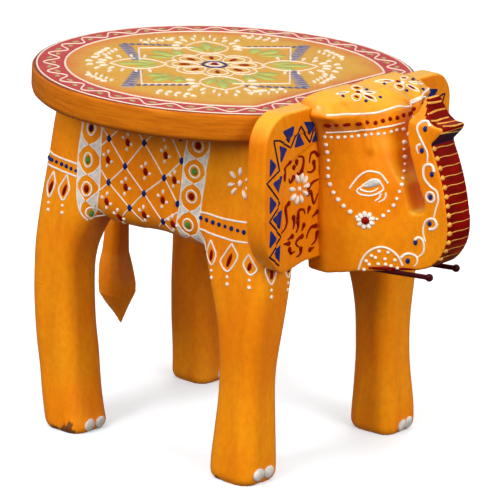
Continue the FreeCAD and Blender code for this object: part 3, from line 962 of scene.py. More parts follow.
class STOOL_OT_seat_pattern(Operator):
    """Paint the seat's border, flower, leaves, square and sprigs."""

    bl_idname = "stool.seat_pattern"
    bl_label = "Seat pattern"

    def execute(self, context):
        work = Painting("seat", "painted_seat", "seat")
        self.border(work)
        self.flower(work)
        for k, corner in enumerate(CORNERS):
            self.leaf(work, 45 + 90 * k)
            self.square(work, k, Vector(corner))
        work.set_down()
        return {"FINISHED"}

    def border(self, work):
        work.line(SEAT_TOP, "ivory", border_path(3.3, 3.0), 1.3, closed=True, smooth=False)
        work.line(SEAT_TOP, "ivory", border_path(21.5, 18.5), 1.6, closed=True, smooth=False)
        work.line(SEAT_TOP, "ivory", wave_path(4.7), 1.3, closed=True)
        spots = [Vector(spot) for spot in wave_path(-1.6, steps=4)]
        for k in range(1, len(spots), 2):
            along = (spots[(k + 1) % len(spots)] - spots[k - 1]).normalized() * 2.8
            slant = Vector((-along.y, along.x)) * (0.3 if k % 4 == 1 else -0.3)
            work.dab(SEAT_TOP, "olive", spots[k], along + slant, 4.0, 0.4, 0.14)

    def flower(self, work):
        work.bead(SEAT_TOP, "maroon", FLOWER, 2.7, 0.3)
        work.line(SEAT_TOP, "ivory", oval(FLOWER, 9.5, 9.5), 2.2, closed=True)
        work.line(SEAT_TOP, "blue", oval(FLOWER, 15.5, 15.5), 1.9, closed=True)
        scallops = []
        for k in range(96):
            reach = 25.5 + 7 * abs(math.cos(4 * math.radians(3.75 * k))) ** 0.7
            scallops.append(turned((reach, 0), 3.75 * k, FLOWER))
        work.line(SEAT_TOP, "ivory", scallops, 1.3, closed=True, smooth=False)
        loop = ((10, 0), (15, 4.6), (21.5, 6.8), (26, 4.2), (27.5, 0), (26, -4.2), (21.5, -6.8),
                (15, -4.6))
        for angle in range(0, 360, 45):
            petal = [turned(point, angle, FLOWER) for point in loop]
            work.line(SEAT_TOP, "ivory", petal, 1.3, closed=True)
        work.rosette(SEAT_TOP, "maroon", FLOWER, range(0, 360, 45), 15.5, 23.5, 4.0, 0.4, 0.2)

    def leaf(self, work, angle):
        for side in (1, -1):
            edge = ((31, 0), (37, 8.5), (45, 13.5), (53, 13.5), (61, 8.5), (68, 0))
            line = [turned((x, side * y), angle, FLOWER) for x, y in edge]
            work.line(SEAT_TOP, "ivory", line, 1.4)
        self.lobes(work, LEAF_LOBES, 0, angle)
        for reach, count, spread, length in ((2.5, 11, 105, 7.0), (11, 6, 52, 5.5)):
            for k in range(count):
                way = Vector(turned((1, 0), spread * (2 * k / (count - 1) - 1)))
                start = Vector((50 + (18 + reach) * way.x, (14.5 + reach) * way.y))
                drop = (turned(spot, angle, FLOWER) for spot in (start, start + length * way))
                work.petal(SEAT_TOP, "ivory", *drop, 3.0)

    def lobes(self, work, lobes, reach, angle):
        """The lobes of a green leaf, ragged as the brush left them."""
        for start, end, width in lobes:
            start, end = Vector(start), Vector(end)
            along = end - start
            side = Vector((-along.y, along.x)).normalized() * width / 2
            outline = []
            for far, wide in LOBE:
                x, y = start + along * far + side * wide * (0.85 + 0.3 * CHANCE.random())
                outline.append(turned((reach + x, y), angle, FLOWER))
            work.patch(SEAT_TOP, "leaf", outline, grain=50)

    def square(self, work, k, corner):
        foot = Vector(FLOWER) + corner
        arms = [(Vector(CORNERS[side % 4]) - corner).normalized() for side in (k - 1, k + 1)]
        line = [foot + arms[0] * SQUARE_ARM, foot, foot + arms[1] * SQUARE_ARM]
        work.line(SEAT_TOP, "ivory", line, 1.5, smooth=False)
        # Dashes stand along two of the square's sides and hatched bands along the other two
        for arm, hatched in zip(arms, (k % 2 == 1, k % 2 == 0)):
            outward = Vector((-arm.y, arm.x))
            outward = outward if outward.dot(corner) > 0 else -outward
            if hatched:
                band = [foot - arm * 9 + outward * 13.5, foot + arm * SQUARE_ARM + outward * 4.6,
                        foot + arm * 35 - outward * 1.4, foot - arm * 9 + outward * 5]
                work.patch(SEAT_TOP, "lilac", band, smooth=False, corner=1.2, grain=50)
            gap, slope = (11.5, 0.6) if k % 2 == 0 else (2.4, 0)
            for j in range(9):
                if hatched:
                    spot = foot + arm * (5.2 * j - 6) + outward * (9.2 - 0.95 * j)
                    way = (outward - arm * 0.35) * (4.2 - 0.13 * j)
                    work.dab(SEAT_TOP, "slate", spot, way, 2.6, 0.3, 0.2)
                else:
                    spot = foot + arm * (4.4 * j - 7) + outward * (gap - slope * j)
                    work.dab(SEAT_TOP, "slate", spot, (arm - outward) * 1.7, 3.2, 0.2, 0.2)
        angle = math.degrees(math.atan2(corner.y, corner.x))
        self.lobes(work, CORNER_LOBES, corner.length, angle)
        for side in (1, -1):
            lean = angle + 19 * side
            self.sprig(work, turned((corner.length + 11, 0), lean, FLOWER), lean + 90 * side)

    def sprig(self, work, middle, angle):
        """White drops in pairs along an unseen stem, with one at its end."""
        drops = [((along, 0.9 * side), (along + 3.2, 4.9 * side))
                 for along in (-10, -4, 2, 8) for side in (1, -1)]
        for drop in (*drops, ((12, 0), (17, 0))):
            work.petal(SEAT_TOP, "ivory", *(turned(spot, angle, middle) for spot in drop), 2.9)


# The saddle cloth and the bands on the flanks


# Borders of the two upright bands, from the seat down, in millimetres ahead and up
REAR_BAND = (
    ((-83.5, 222), (-84, 212), (-85, 203), (-86, 192), (-85.5, 182), (-85, 172), (-84, 163),
     (-82, 156), (-80, 151), (-77.5, 146.5)),
    ((-69.5, 222), (-69.5, 211), (-69.5, 203), (-69.5, 195), (-69.5, 185), (-69.5, 176),
     (-70, 168), (-71, 162), (-72.5, 155), (-76, 147.5)),
)
FRONT_BAND = (
    ((1.5, 222), (0.5, 211), (-0.5, 205), (-1, 197), (-1.5, 188), (-2.5, 178), (-3.5, 168),
     (-5, 159), (-4, 151)),
    ((19, 222), (18.5, 209), (17, 200), (16.5, 192), (15, 182), (14, 172), (13, 162),
     (13.5, 153), (19.5, 147)),
)
# Medallions as height and colour, then the heights where the cloth's grey points meet
REAR_MEDALLIONS = ((208, "navy"), (187, "green"), (168, "maroon"), (151, "green"))
REAR_POINTS = (218.5, 197, 177.5, 160)
FRONT_MEDALLIONS = ((213, "maroon"), (196, "green"), (179.5, "maroon"), (160.5, "green"))
FRONT_POINTS = (204.5, 188, 169.5, 153)

# Knots of the lattice between the bands, in rows that slope down towards the head
KNOTS = (
    ((-16, 221), (-2.5, 201)),
    ((-48, 221), (-33.5, 206.5), (-16.5, 187), (-4.5, 172.5)),
    ((-76, 216), (-63, 203.5), (-49, 188), (-32.5, 173.5), (-17, 158), (-11, 152)),
    ((-69.5, 182), (-62.5, 174.5), (-44, 161.5), (-35, 153.5)),
)
RISING_LINES = (
    ((-69.5, 197.5), (-63, 203.5), (-45, 221)),
    ((-69.5, 168), (-62.5, 174.5), (-49, 188), (-33.5, 206.5), (-19, 221)),
    ((-51, 154.5), (-44, 161.5), (-32.5, 173.5), (-16.5, 187), (-2.5, 201)),
    ((-22.5, 153), (-17, 158), (-4.5, 167)),
)
LATTICE_FLOWERS = ((-47.5, 204), (-63.5, 189.5), (-16, 202), (-32, 188), (-48, 174.5),
                   (-8, 187.5), (-64, 161.5), (-17, 172.5), (-32.5, 159.5), (-55, 152.5),
                   (-8.5, 158.5), (-17, 216), (-32, 217), (-62, 217))


class STOOL_OT_saddle(Operator):
    """Paint the saddle cloth's lattice and its two bands of medallions."""

    bl_idname = "stool.saddle"
    bl_label = "Saddle cloth"

    def execute(self, context):
        work = Painting("saddle", "painted_body", "body", *LEGS)
        self.band(work, REAR_BAND, REAR_MEDALLIONS, REAR_POINTS, 6.6, 9.4)
        self.band(work, FRONT_BAND, FRONT_MEDALLIONS, FRONT_POINTS, 8.4, 8.0)
        self.lattice(work)
        work.set_down()
        return {"FINISHED"}

    def band(self, work, borders, medallions, points, width, height):
        for border in borders:
            work.line(SIDES, "white", border, 1.3)
        for level, colour in medallions:
            # The lowest medallions lean, and the very last one stands a little ahead
            lean = 12 if level < 165 else 0
            ahead = 3 if level < 155 else 0
            middle = (sum(abreast(border, level) for border in borders) / 2 + ahead, level)
            work.line(SIDES, "white", oval(middle, width, height, lean), 1.3, closed=True)
            work.dab(SIDES, colour, middle, turned((0, 0.31 * height), lean), 0.6 * width, 0.1, 0.3)
        for level in points:
            tip = sum(abreast(border, level) for border in borders) / 2
            for border, side in zip(borders, (-1, 1)):
                foot = abreast(border, level) - side * 3.2
                high, low = min(level + 7.5, 222), max(level - 7.5, border[-1][1])
                outline = [(abreast(border, high), high), (foot, level + 2.6),
                           (tip + side * 0.5, level), (foot, level - 2.6),
                           (abreast(border, low), low)]
                work.patch(SIDES, "grey", outline, smooth=False, grain=3.0)
                work.line(SIDES, "white", outline[:3], 0.9)
                work.line(SIDES, "white", outline[2:], 0.9)

    def lattice(self, work):
        for row in (*KNOTS, *RISING_LINES):
            work.line(SIDES, "white", row, 1.1)
        for row in KNOTS:
            for knot in row:
                if 155 < knot[1] < 210 and knot[0] > -69:
                    work.dab(SIDES, "blue", knot, (0.3, 2.4), 3.9, 0.1, 0.35)
        work.dab(SIDES, "blue", (-4.5, 215), (0, 2), 3.6, 0.1, 0.35)
        for x, z in LATTICE_FLOWERS:
            work.petal(SIDES, "maroon", (x - 0.5, z + 2.5), (x + 0.7, z - 2.7), 4.0, 0.1, 0.35)
            for dx, dz, length in ((0.2, 5.2, 3.3), (-3.4, 2.3, 2.8), (3.3, -0.7, 2.6),
                                   (-0.5, -4.4, 2.8)):
                dx += 0.5 * (CHANCE.random() - 0.5)
                dz += 0.5 * (CHANCE.random() - 0.5)
                way = Vector((dx, dz)).normalized() * length / 2
                work.dab(SIDES, "white", (x + dx, z + dz), way, 2.6, 0.35)


# Hanging drops: tip, foremost, lowest and rearmost places of each outline
REAR_DROPS = (
    ((-105.5, 174), (-103.5, 165.5), (-107.5, 156.5), (-110.5, 164)),
    ((-94, 174), (-91, 164.5), (-95.5, 157), (-100, 163)),
)
FRONT_DROPS = (
    ((24.5, 155.5), (30, 147), (27, 140), (21, 145)),
    ((41.5, 157), (47, 149), (40.5, 139), (34, 143.5)),
    ((55.5, 153), (61.5, 144), (57.5, 140.5), (52, 145.5)),
)
CHEST_DROPS = (
    ((-70.5, 154), (-66, 142), (-70.5, 134), (-75, 142)),
    ((-53.5, 155), (-48.5, 143), (-53.5, 135), (-58.5, 143)),
)
RUMP_DROPS = ((-72, 166), (-56, 165), (-39, 165), (-23, 164.5), (23, 164.5), (39, 165), (56, 165),
              (72, 166))
FLANK_FLOWER = (44.1, 195.8)
# Lines of the bands on the flanks, then rows of beads with their number and size
FLANK_LINES = (
    ((-113, 186), (-106, 184.5), (-99, 183.5), (-86, 182.5)),
    ((-113, 177), (-105, 176.5), (-98.5, 175.5), (-86, 174.5)),
    ((14, 171), (22, 171.5), (32, 171), (42, 171.5), (53, 172.5)),
    ((12.5, 160), (25, 159.5), (36, 159), (44.5, 159), (54, 160)),
)
FLANK_BEADS = ((((-112.5, 181.5), (-100, 180), (-87, 178)), 7, 1.35),
               (((14.5, 167.5), (34, 166.5), (50, 166)), 8, 1.5))


class STOOL_OT_flanks(Operator):
    """Paint the beaded bands and hanging drops on the flanks, the chest and the rump."""

    bl_idname = "stool.flanks"
    bl_label = "Flanks"

    def execute(self, context):
        work = Painting("flank", "painted_legs", "body", *LEGS)
        for line in FLANK_LINES:
            work.line(SIDES, "white", line)
        for row, count, radius in FLANK_BEADS:
            work.beads(SIDES, "blue", row, count, radius)
        for drop in REAR_DROPS + FRONT_DROPS:
            self.drop(work, SIDES, drop)
        for drop in CHEST_DROPS:
            self.drop(work, FRONTS, drop)
        # The band goes on round the front legs, where the ears hide most of it
        for level in (172, 159.5):
            work.line(FRONTS, "white", ((-80, level), (-60, level), (-44, level)))
        work.beads(FRONTS, "blue", ((-77, 166), (-60, 166), (-45, 166)), 7, 1.5)
        self.rump(work)
        work.dab(SIDES, "white", FLANK_FLOWER, (0, 2.4), 3.8, 0.2)
        work.rosette(SIDES, "white", FLANK_FLOWER, (90, 145, 197, 232, 300, 340, 33),
                     4.2, 10.5, 4.0, 0.6)
        work.set_down()
        return {"FINISHED"}

    def drop(self, work, charts, places):
        """A white outline with a sharp tip, a maroon stroke inside and two beads below."""
        tip, ahead, low, behind = (Vector(place) for place in places)
        across = ahead - behind
        upper_ahead = tip.lerp(ahead, 0.52) + across * 0.05
        upper_behind = tip.lerp(behind, 0.52) - across * 0.05
        work.line(charts, "white", (tip, upper_ahead, ahead, low, behind, upper_behind, tip), 1.4)
        work.petal(charts, "maroon", tip.lerp(low, 0.36) + across * 0.1,
                   tip.lerp(low, 0.84) - across * 0.1, 3.4, 0.25, 0.25)
        work.bead(charts, "white", low - Vector((0, 3.6)), 1.1)
        work.bead(charts, "white", low - Vector((-0.3, 8.2)), 1.3)

    def rump(self, work):
        for level, low in ((185.5, 184), (177, 175.5)):
            for side in (1, -1):
                work.line(BACK, "white", ((side * 82, level), (side * 40, low), (0, low)))
        for side in (1, -1):
            work.beads(BACK, "blue", ((side * 80, 181), (side * 40, 180), (side * 4, 180)), 13, 1.35)
        for x, low in RUMP_DROPS:
            self.drop(work, BACK, ((x, low + 8), (x + 4.2, low - 1.5), (x, low - 9.5),
                                   (x - 4.2, low - 1.5)))


class STOOL_OT_toenails(Operator):
    """Dab two pale toenails on the front of each foot."""

    bl_idname = "stool.toenails"
    bl_label = "Toenails"

    # The foot's leg, then how far out and how high each nail sits, with its width
    NAILS = (
        ("rear_right_leg", (-75, 5), (-65, 4.6), 9.8),
        ("front_right_leg", (-71.8, 7.4), (-62, 7), 10.6),
        ("front_left_leg", (72.5, 5.5), (79.5, 6), 8.8),
        ("rear_left_leg", (68, 5), (77, 5), 8.4),
    )

    def execute(self, context):
        work = Painting("foot", "painted_legs", *LEGS)
        for leg, *nails, width in self.NAILS:
            work.skin = skin_of(leg)
            for nail in nails:
                work.dab(FRONTS[:1], "nail", nail, (0, 4.6), width, 0.05, 0.16)
        work.set_down()
        return {"FINISHED"}


# The ears' pattern


ZIGZAG = ((-46.5, 239), (-52, 224), (-63.5, 236.5), (-71, 224), (-84, 231), (-90, 232),
          (-83, 212), (-95, 206), (-79.5, 190.5), (-90.5, 181), (-76.5, 168.5), (-88.5, 158),
          (-77, 150))
EAR_TRIANGLES = (
    ((-92.5, 221), (-92.5, 210), (-86.5, 215.5)), ((-91, 197), (-90.5, 186), (-84.5, 191)),
    ((-89, 175), (-89, 164), (-82.5, 168.5)),
    ((-84, 227.5), (-75, 224), (-80, 216.5)), ((-78.5, 207.5), (-88.5, 205), (-82, 197.5)),
    ((-77, 185.5), (-87, 182), (-78.5, 174)), ((-76.5, 163), (-84, 159.5), (-76, 152)),
    ((-81, 236), (-70.5, 237.5), (-73, 227.5)), ((-64, 232), (-58, 224), (-67, 223.5)),
    ((-60.5, 238.5), (-49.5, 236.5), (-53, 229)), ((-45.5, 231), (-42, 223.5), (-50, 224)),
)
# Comma strokes of the scrollwork, each from its thick end to its thin end
SCROLLS = (
    ((-71, 214.5), (-74.5, 212), (-73.5, 208)), ((-57.5, 206.5), (-56, 212), (-57, 215.5), (-61.5, 216.5)),
    ((-57.5, 206.5), (-60, 205), (-62, 206.5)), ((-65.5, 210.5), (-65, 208.5)),
    ((-63, 213.5), (-62.5, 211)), ((-41.5, 213.5), (-45, 216.5), (-49, 216), (-50, 210.5)),
    ((-45.5, 210), (-44.5, 205.5), (-48, 204), (-51.5, 205)), ((-74.5, 206.5), (-74, 203)),
    ((-65.5, 204), (-68.5, 201), (-70, 204)), ((-49.5, 194.5), (-45.5, 197), (-39.5, 198)),
    ((-50, 190.5), (-47, 191.5), (-43.5, 183), (-39.5, 189)),
    ((-69, 188), (-72, 186), (-71, 181), (-70, 176.5), (-71.5, 172.5), (-75, 170)),
    ((-59, 177), (-58.5, 181.5), (-53.5, 181), (-52, 178)), ((-48, 181), (-49, 177.5)),
    ((-39.5, 177), (-44.5, 174.5)), ((-63.5, 178), (-62.5, 174.5), (-63.5, 170.5)),
    ((-59, 174.5), (-58.5, 170.5), (-60.5, 167.5)), ((-40, 168), (-45, 168), (-48, 165), (-49, 161.5)),
    ((-52.5, 171), (-54.5, 167.5)), ((-38.5, 163), (-39.5, 158.5), (-43.5, 156)),
    ((-64, 166), (-68.5, 164.5)), ((-54, 164), (-58, 163), (-60, 160.5), (-56.5, 157.5)),
    ((-67, 162), (-72, 162.5)), ((-66, 158), (-64.5, 155), (-60.5, 155.5)),
    ((-54.5, 156), (-55, 152.5), (-58.5, 151.5)), ((-45, 153.5), (-41, 154)),
)
EAR_FLOWER = (-59, 195.5)


class STOOL_OT_ear_pattern(Operator):
    """Paint each ear's dark zigzag, blue triangles, scrollwork and white flower."""

    bl_idname = "stool.ear_pattern"
    bl_label = "Ear pattern"

    def execute(self, context):
        work = Painting("ear", "painted_ears", "right_ear", "left_ear")
        work.line(FRONTS, "navy", ZIGZAG, 1.4, smooth=False)
        for triangle in EAR_TRIANGLES:
            centre = sum((Vector(corner) for corner in triangle), Vector((0, 0))) / 3
            larger = [centre.lerp(Vector(corner), 1.14) for corner in triangle]
            work.patch(FRONTS, "blue", larger, smooth=False, corner=1.5, grain=1.8)
        for scroll in SCROLLS:
            work.line(FRONTS, "maroon", scroll, (3.0, 1.2))
            work.bead(FRONTS, "maroon", scroll[0], 1.8, 0.3)
        work.bead(FRONTS, "white", EAR_FLOWER, 1.6)
        work.rosette(FRONTS, "white", EAR_FLOWER, (112, 78, 42, 5, -32, -72, -108, -145, 172),
                     4.0, 10.3, 4.4, 0.6)
        work.set_down()
        return {"FINISHED"}


# The head's pattern


HEADBAND_TOP = ((38, 205.5), (44, 206), (49.5, 207), (57, 207.5), (63, 208.5), (69.5, 209.5),
                (76.5, 212), (83, 214.5), (88, 214.5), (94, 216.5), (98, 218))
TIP_LINE = ((98, 218), (100.5, 219.5), (104, 222), (107, 224.5), (109.5, 221), (111, 216.5),
            (113.5, 209.5))
HEADBAND_LOW = ((38.5, 195.5), (44.5, 196), (55, 197), (60, 198), (67.5, 199), (73, 200.5),
                (78, 201.5), (83, 203), (87.5, 204.5))
PEARLS_TOP = ((38, 193), (46.5, 193), (58.5, 194.5), (67, 196), (75, 197), (82.5, 199.5),
              (87, 200.5))
PEARLS_FRONT = ((88, 197), (88, 188), (89, 180), (88, 171), (86, 162), (82.5, 152.5),
                (77, 146.5), (73, 144))
PEARLS_BACK = ((39, 221.5), (41, 211), (41.5, 200), (45.5, 190), (52.5, 182), (60.5, 176))
PENDANT = (66, 174.5)
# Drops between the headband's lines: how far ahead and up, half the height and half the width
BAND_DROPS = ((39, 199.5, 2.2, 2.2), (44.5, 200, 1.7, 1.6), (51, 200.5, 1.6, 2.6),
              (58.5, 201.5, 1.7, 2.1), (64, 203, 1.5, 1.5), (69, 203, 1.6, 1.3),
              (73.5, 204.5, 1.5, 1.4), (78, 206, 1.6, 1.3), (82.5, 207, 1.6, 1.3),
              (86.5, 209, 1.6, 1.2), (91, 210, 1.9, 1.2))
BROW = ((55, 194), (58, 199), (61.5, 203.5), (65.5, 206), (69.5, 206), (73.5, 205), (76, 202.5),
        (78.5, 199.5))
EYE = ((59.5, 193), (62, 195.5), (65, 198.5), (68.5, 200.5), (72, 201), (74.5, 198.5),
       (76, 195.5), (73.5, 193), (69.5, 191), (65.5, 190.5), (61.5, 191))
EYELID = ((63.5, 196), (66, 200), (69.5, 202), (74, 201), (73.5, 198.5), (70, 196.5), (66, 195.5))
LASHES = (
    ((61.5, 194), (65.5, 193), (69.5, 193.5), (73, 196)),
    ((77.5, 193.5), (77.5, 190.5), (76, 188.5), (73.5, 187)),
    ((74.5, 192.5), (73.5, 189.5), (71, 187.5)),
)
JAW_ARCH = ((63.5, 141), (65.5, 148.5), (69.5, 154.5), (76, 158), (82.5, 157), (87.5, 153),
            (90.5, 147.5))
JAW_DOTS = ((75.5, 155), (81, 155), (71, 151.5), (73.5, 150.5), (79.5, 150.5), (85.5, 150.5),
            (68, 147.5), (70, 145.5), (75.5, 146.5), (80, 147), (83.5, 146.5), (67, 141.5),
            (87.5, 145.5))
# The mouth's painted opening, along the jaw's lower edge
MOUTH = ((66, 141), (74, 144), (84, 145.5), (94, 146.5), (100, 146.5), (104, 144), (96, 141),
         (80, 139))
# Flowers on the crown: each outlined petal with the ends of the stroke inside it
CROWN_HUBS = ((59.5, 222.5), (86.5, 231))
CROWN_PETALS = (
    (((53.5, 224.5), (55, 226.5), (58.5, 226.5), (60.5, 224.5), (58.5, 223), (55.5, 223)),
     (55, 224.5), (58.5, 225)),
    (((59, 220.5), (55.5, 220.5), (53.5, 219), (54, 217), (56, 216), (58, 216.5), (59.5, 219)),
     (55, 219), (58, 218.5)),
    (((60.5, 222), (64.5, 223), (69, 222.5), (64.5, 221.5)), (62, 222.5), (67, 222)),
    (((60.5, 221), (65, 220.5), (68, 219), (69, 216.5), (65.5, 217.5), (61, 219.5)),
     (61.5, 220), (67, 218.2)),
    (((52, 221.5), (47.5, 221), (43.5, 219.5), (47.5, 220)), (44.5, 220), (51.5, 221)),
    (((85, 234), (86.5, 235.5), (89.5, 235.5), (90.5, 234.5), (88.5, 233.5), (86, 233)),
     (85.5, 234.5), (89, 234.5)),
    (((86, 230), (83, 230), (81, 228.5), (82, 226.5), (84, 225.5), (86.5, 226.5), (87.5, 228.5)),
     (82.5, 228.5), (86, 228)),
    (((90.5, 232), (94.5, 232.5), (100, 231.5), (94.5, 231)), (91.5, 232), (97.5, 232)),
    (((89, 230), (92.5, 229.5), (95.5, 228), (97, 226), (93, 227), (89, 229)),
     (89.5, 229.5), (94.5, 227.5)),
    (((81, 231.5), (75, 232), (68.5, 230.5), (75, 230)), (74, 231), (80.5, 231)),
)
CROWN_BALLS = ((57.5, 222), (83.5, 231.5))
CROWN_DOTS = ((63, 224), (71.5, 219.5), (62.5, 216.5), (48, 218.5), (93.5, 234), (100, 228),
              (89, 226), (74.5, 229))


class STOOL_OT_head_pattern(Operator):
    """Paint the headband, the pearls, the eyes, the jaw and the flowers on the crown."""

    bl_idname = "stool.head_pattern"
    bl_label = "Head pattern"

    def execute(self, context):
        work = Painting("head", "painted_head", "head")
        near, far = SKEWED[:1], SKEWED[1:]
        for charts, points, width in (
                (near, HEADBAND_TOP + TIP_LINE[1:], 1.5), (far, HEADBAND_TOP[:7], 1.5),
                (near, HEADBAND_LOW, 1.4), (far, HEADBAND_LOW[:8], 1.4)):
            work.line(charts, "white", points, width)
        for u, v, size, wide in BAND_DROPS:
            charts = SKEWED if u < 80 else near
            work.dab(charts, "maroon", (u, v + 0.2), (wide, 0.2), 2 * size, 0.1, 0.3)
        for charts, points, count, radius, grow in (
                (near, PEARLS_TOP, 13, 1.15, 0.3), (far, PEARLS_TOP[:5], 10, 1.15, 0.3),
                (near, PEARLS_FRONT, 14, 1.25, 0.5), (far, PEARLS_FRONT[4:], 6, 1.25, 0.5),
                (CHEEKS, PEARLS_BACK, 11, 1.4, 0.5)):
            work.beads(charts, "white", points, count, radius, grow)
        work.rosette(CHEEKS, "white", PENDANT, range(20, 360, 40), 1.5, 6.2, 3.6, 0.4, 0.3)
        work.bead(CHEEKS, "maroon", PENDANT, 2.9, 0.42)
        work.line(CHEEKS, "white", BROW, 1.4)
        work.line(CHEEKS, "white", EYE, 1.3, closed=True)
        work.patch(CHEEKS, "grey", EYELID)
        for lash in LASHES:
            work.line(CHEEKS, "white", lash, (1.5, 0.9))
        work.line(CHEEKS, "white", JAW_ARCH, 1.5)
        for spot in JAW_DOTS:
            work.bead(CHEEKS, "white", spot, 1.15)
        work.patch(CHEEKS, "maroon", MOUTH)
        self.crown(work, near)
        work.set_down()
        return {"FINISHED"}

    def crown(self, work, charts):
        """Two flowers of outlined petals, each with a maroon stroke, and blue dots between."""
        for hub in CROWN_HUBS:
            work.bead(charts, "white", hub, 1.5)
        for ball in CROWN_BALLS:
            work.dab(charts, "maroon", ball, (1.6, 0), 2.2, 0.0, 0.35)
        for outline, start, end in CROWN_PETALS:
            work.line(charts, "white", outline, 0.9, closed=True)
            heights = [v for u, v in outline]
            narrow = max(heights) - min(heights) < 3
            work.petal(charts, "maroon", start, end, 1.3 if narrow else 2.4, 0.2, 0.3)
        for dot in CROWN_DOTS:
            work.bead(charts, "blue", dot, 1.1)


# The trunk's pattern


# White runners on the trunk's flat side, thick where they curl round a blue bead
RUNNERS = (
    ((138, 239), (136, 241.5), (132, 241), (129, 237.5), (130, 233.5), (133, 229), (137.5, 222.5),
     (138, 216.5)),
    ((132.5, 227), (129.5, 224.5), (131, 220.5)),
    ((143.5, 211.5), (142.5, 214.5), (140, 215.5), (136.5, 214), (135.5, 210.5), (137, 205.5),
     (142, 201.5), (146.5, 199.5), (148, 194), (146.5, 188), (145.5, 183)),
    ((142.5, 174.5), (146, 175.5), (148, 178.5), (146, 181.5), (142, 181), (139, 178),
     (138, 173), (139, 169), (140.5, 166)),
    ((132.5, 165.5), (134.5, 167.5), (138, 167), (139.5, 163), (139, 158.5), (135.5, 155)),
    ((124.5, 152.5), (126.5, 155), (129.5, 156), (134.5, 155), (135, 151), (133, 148.5)),
)
RUNNER_BEADS = ((135, 237), (133.5, 223), (142, 209.5), (142, 195), (142.5, 178), (133, 164),
                (128.5, 151))
# Yellow rules over the trunk's tip and over its lower lip
TIP_RULES = (((100, 216), (104.5, 217), (109.5, 218.5)),
             ((100, 209), (102, 210), (105.5, 212), (112, 214)),
             ((102, 205), (105.5, 205.5), (109, 207), (113.5, 208.5)))
LIP_RULES = (((106, 203.5), (111, 204.5), (119.5, 207)), ((109.5, 202), (116.5, 203), (123, 205.5)),
             ((108, 197.5), (116.5, 199.5), (120.5, 200.5)))
# Lines inside the trunk that part its painted front from its sides' back, from the top down
TRUNK_CORE = ((131, 230), (133, 215), (143, 200), (148, 185), (147, 172), (141, 160), (126.5, 152),
              (126, 130))
LIP_CORE = ((138, 237), (136, 231), (131.5, 226.5))
TIP_CORE = ((130, 256), (133.5, 243), (136, 238))
# Coats of the trunk's front: half the width, the line inside, from which height to which, and
# where the skin is cut clean behind and across
COATS = (
    ("trunk_front", "trunk_red", 11.9, TRUNK_CORE, 100, 227, 126, 227),
    ("trunk_notch", "navy", 11.9, LIP_CORE, 227, 236, 100, 227),
    ("trunk_tip", "trunk_red", 11.2, TIP_CORE, 237, 254, 100, 237),
)


class STOOL_OT_trunk_pattern(Operator):
    """Coat the trunk's front dark red, rule it yellow and paint the runners on its sides."""

    bl_idname = "stool.trunk_pattern"
    bl_label = "Trunk pattern"

    def execute(self, context):
        work = Painting("trunk", "painted_head", "head")
        for runner in RUNNERS:
            work.line(SIDES, "white", runner, (2.2, 1.1))
        work.line(SIDES, "white", oval((142, 195), 6.4, 6.4), 1.7, closed=True)
        for spot in RUNNER_BEADS:
            work.dab(SIDES, "blue", spot, (0.4, 1.9), 3.3, 0.1, 0.35)
        # Yellow rules cross the dark front, each from a ball at its right end
        for k in range(13):
            z = 225 - 5.65 * k
            rule = ((-10.6, z), (-4, z + 0.3), (4, z - 0.3), (11.6, z))
            work.line(FRONTS[:1], "yellow", rule, (1.1, 0.8))
            work.bead(FRONTS[:1], "yellow", (-10.4, z), 1.75)
        for rules, widths in ((TIP_RULES, (1.9, 1.3)), (LIP_RULES, (1.8, 1.1))):
            for rule in rules:
                work.line(SKEWED[:1], "yellow", rule, widths)
        work.set_down()
        for coat in COATS:
            self.coat(*coat)
        return {"FINISHED"}

    def coat(self, name, colour, reach, core, low, high, rear, level):
        """A thin coat on the carved head's own faces, cut clean at its edges."""
        bm = bmesh.new()
        bm.from_mesh(bpy.data.objects["head_carved"].data)
        cuts = (((0, -reach, 0), (0, 1, 0)), ((0, reach, 0), (0, 1, 0)),
                ((rear, 0, 0), (1, 0, 0)), ((0, 0, level), (0, 0, 1)))
        for place, normal in cuts:
            bmesh.ops.bisect_plane(bm, geom=[*bm.verts, *bm.edges, *bm.faces],
                                   plane_co=Vector(place) * MM, plane_no=normal)
        spare = []
        for face in bm.faces:
            x, y, z = face.calc_center_median() / MM
            if abs(y) > reach or x < rear or not low < z < high or x < abreast(core, z):
                spare.append(face)
        bmesh.ops.delete(bm, geom=spare, context="FACES")
        lift = sizes().paint_lift
        for vert in bm.verts:
            vert.co += vert.normal * lift
        piece = add_object(name, mesh_from(bm, name))
        modify(piece, "SOLIDIFY", thickness=lift + SUNK, offset=-1)
        settle(piece)
        smooth_shading(piece, math.radians(45))
        carry(piece, paint(colour))


# Stage


def bearing(heading, height):
    """A direction from its heading and its height above the floor, in degrees."""
    turn, rise = math.radians(heading), math.radians(height)
    level = math.cos(rise)
    return Vector((math.cos(turn) * level, math.sin(turn) * level, math.sin(rise)))


def aimed(name, data, place, way, roll=0.0):
    """A camera or a lamp at a place, looking along a way and rolled by degrees."""
    obj = add_object(name, data)
    turn = way.to_track_quat("-Z", "Y").to_matrix() @ Matrix.Rotation(math.radians(roll), 3, "Z")
    obj.matrix_world = Matrix.LocRotScale(place, turn, None)
    return obj


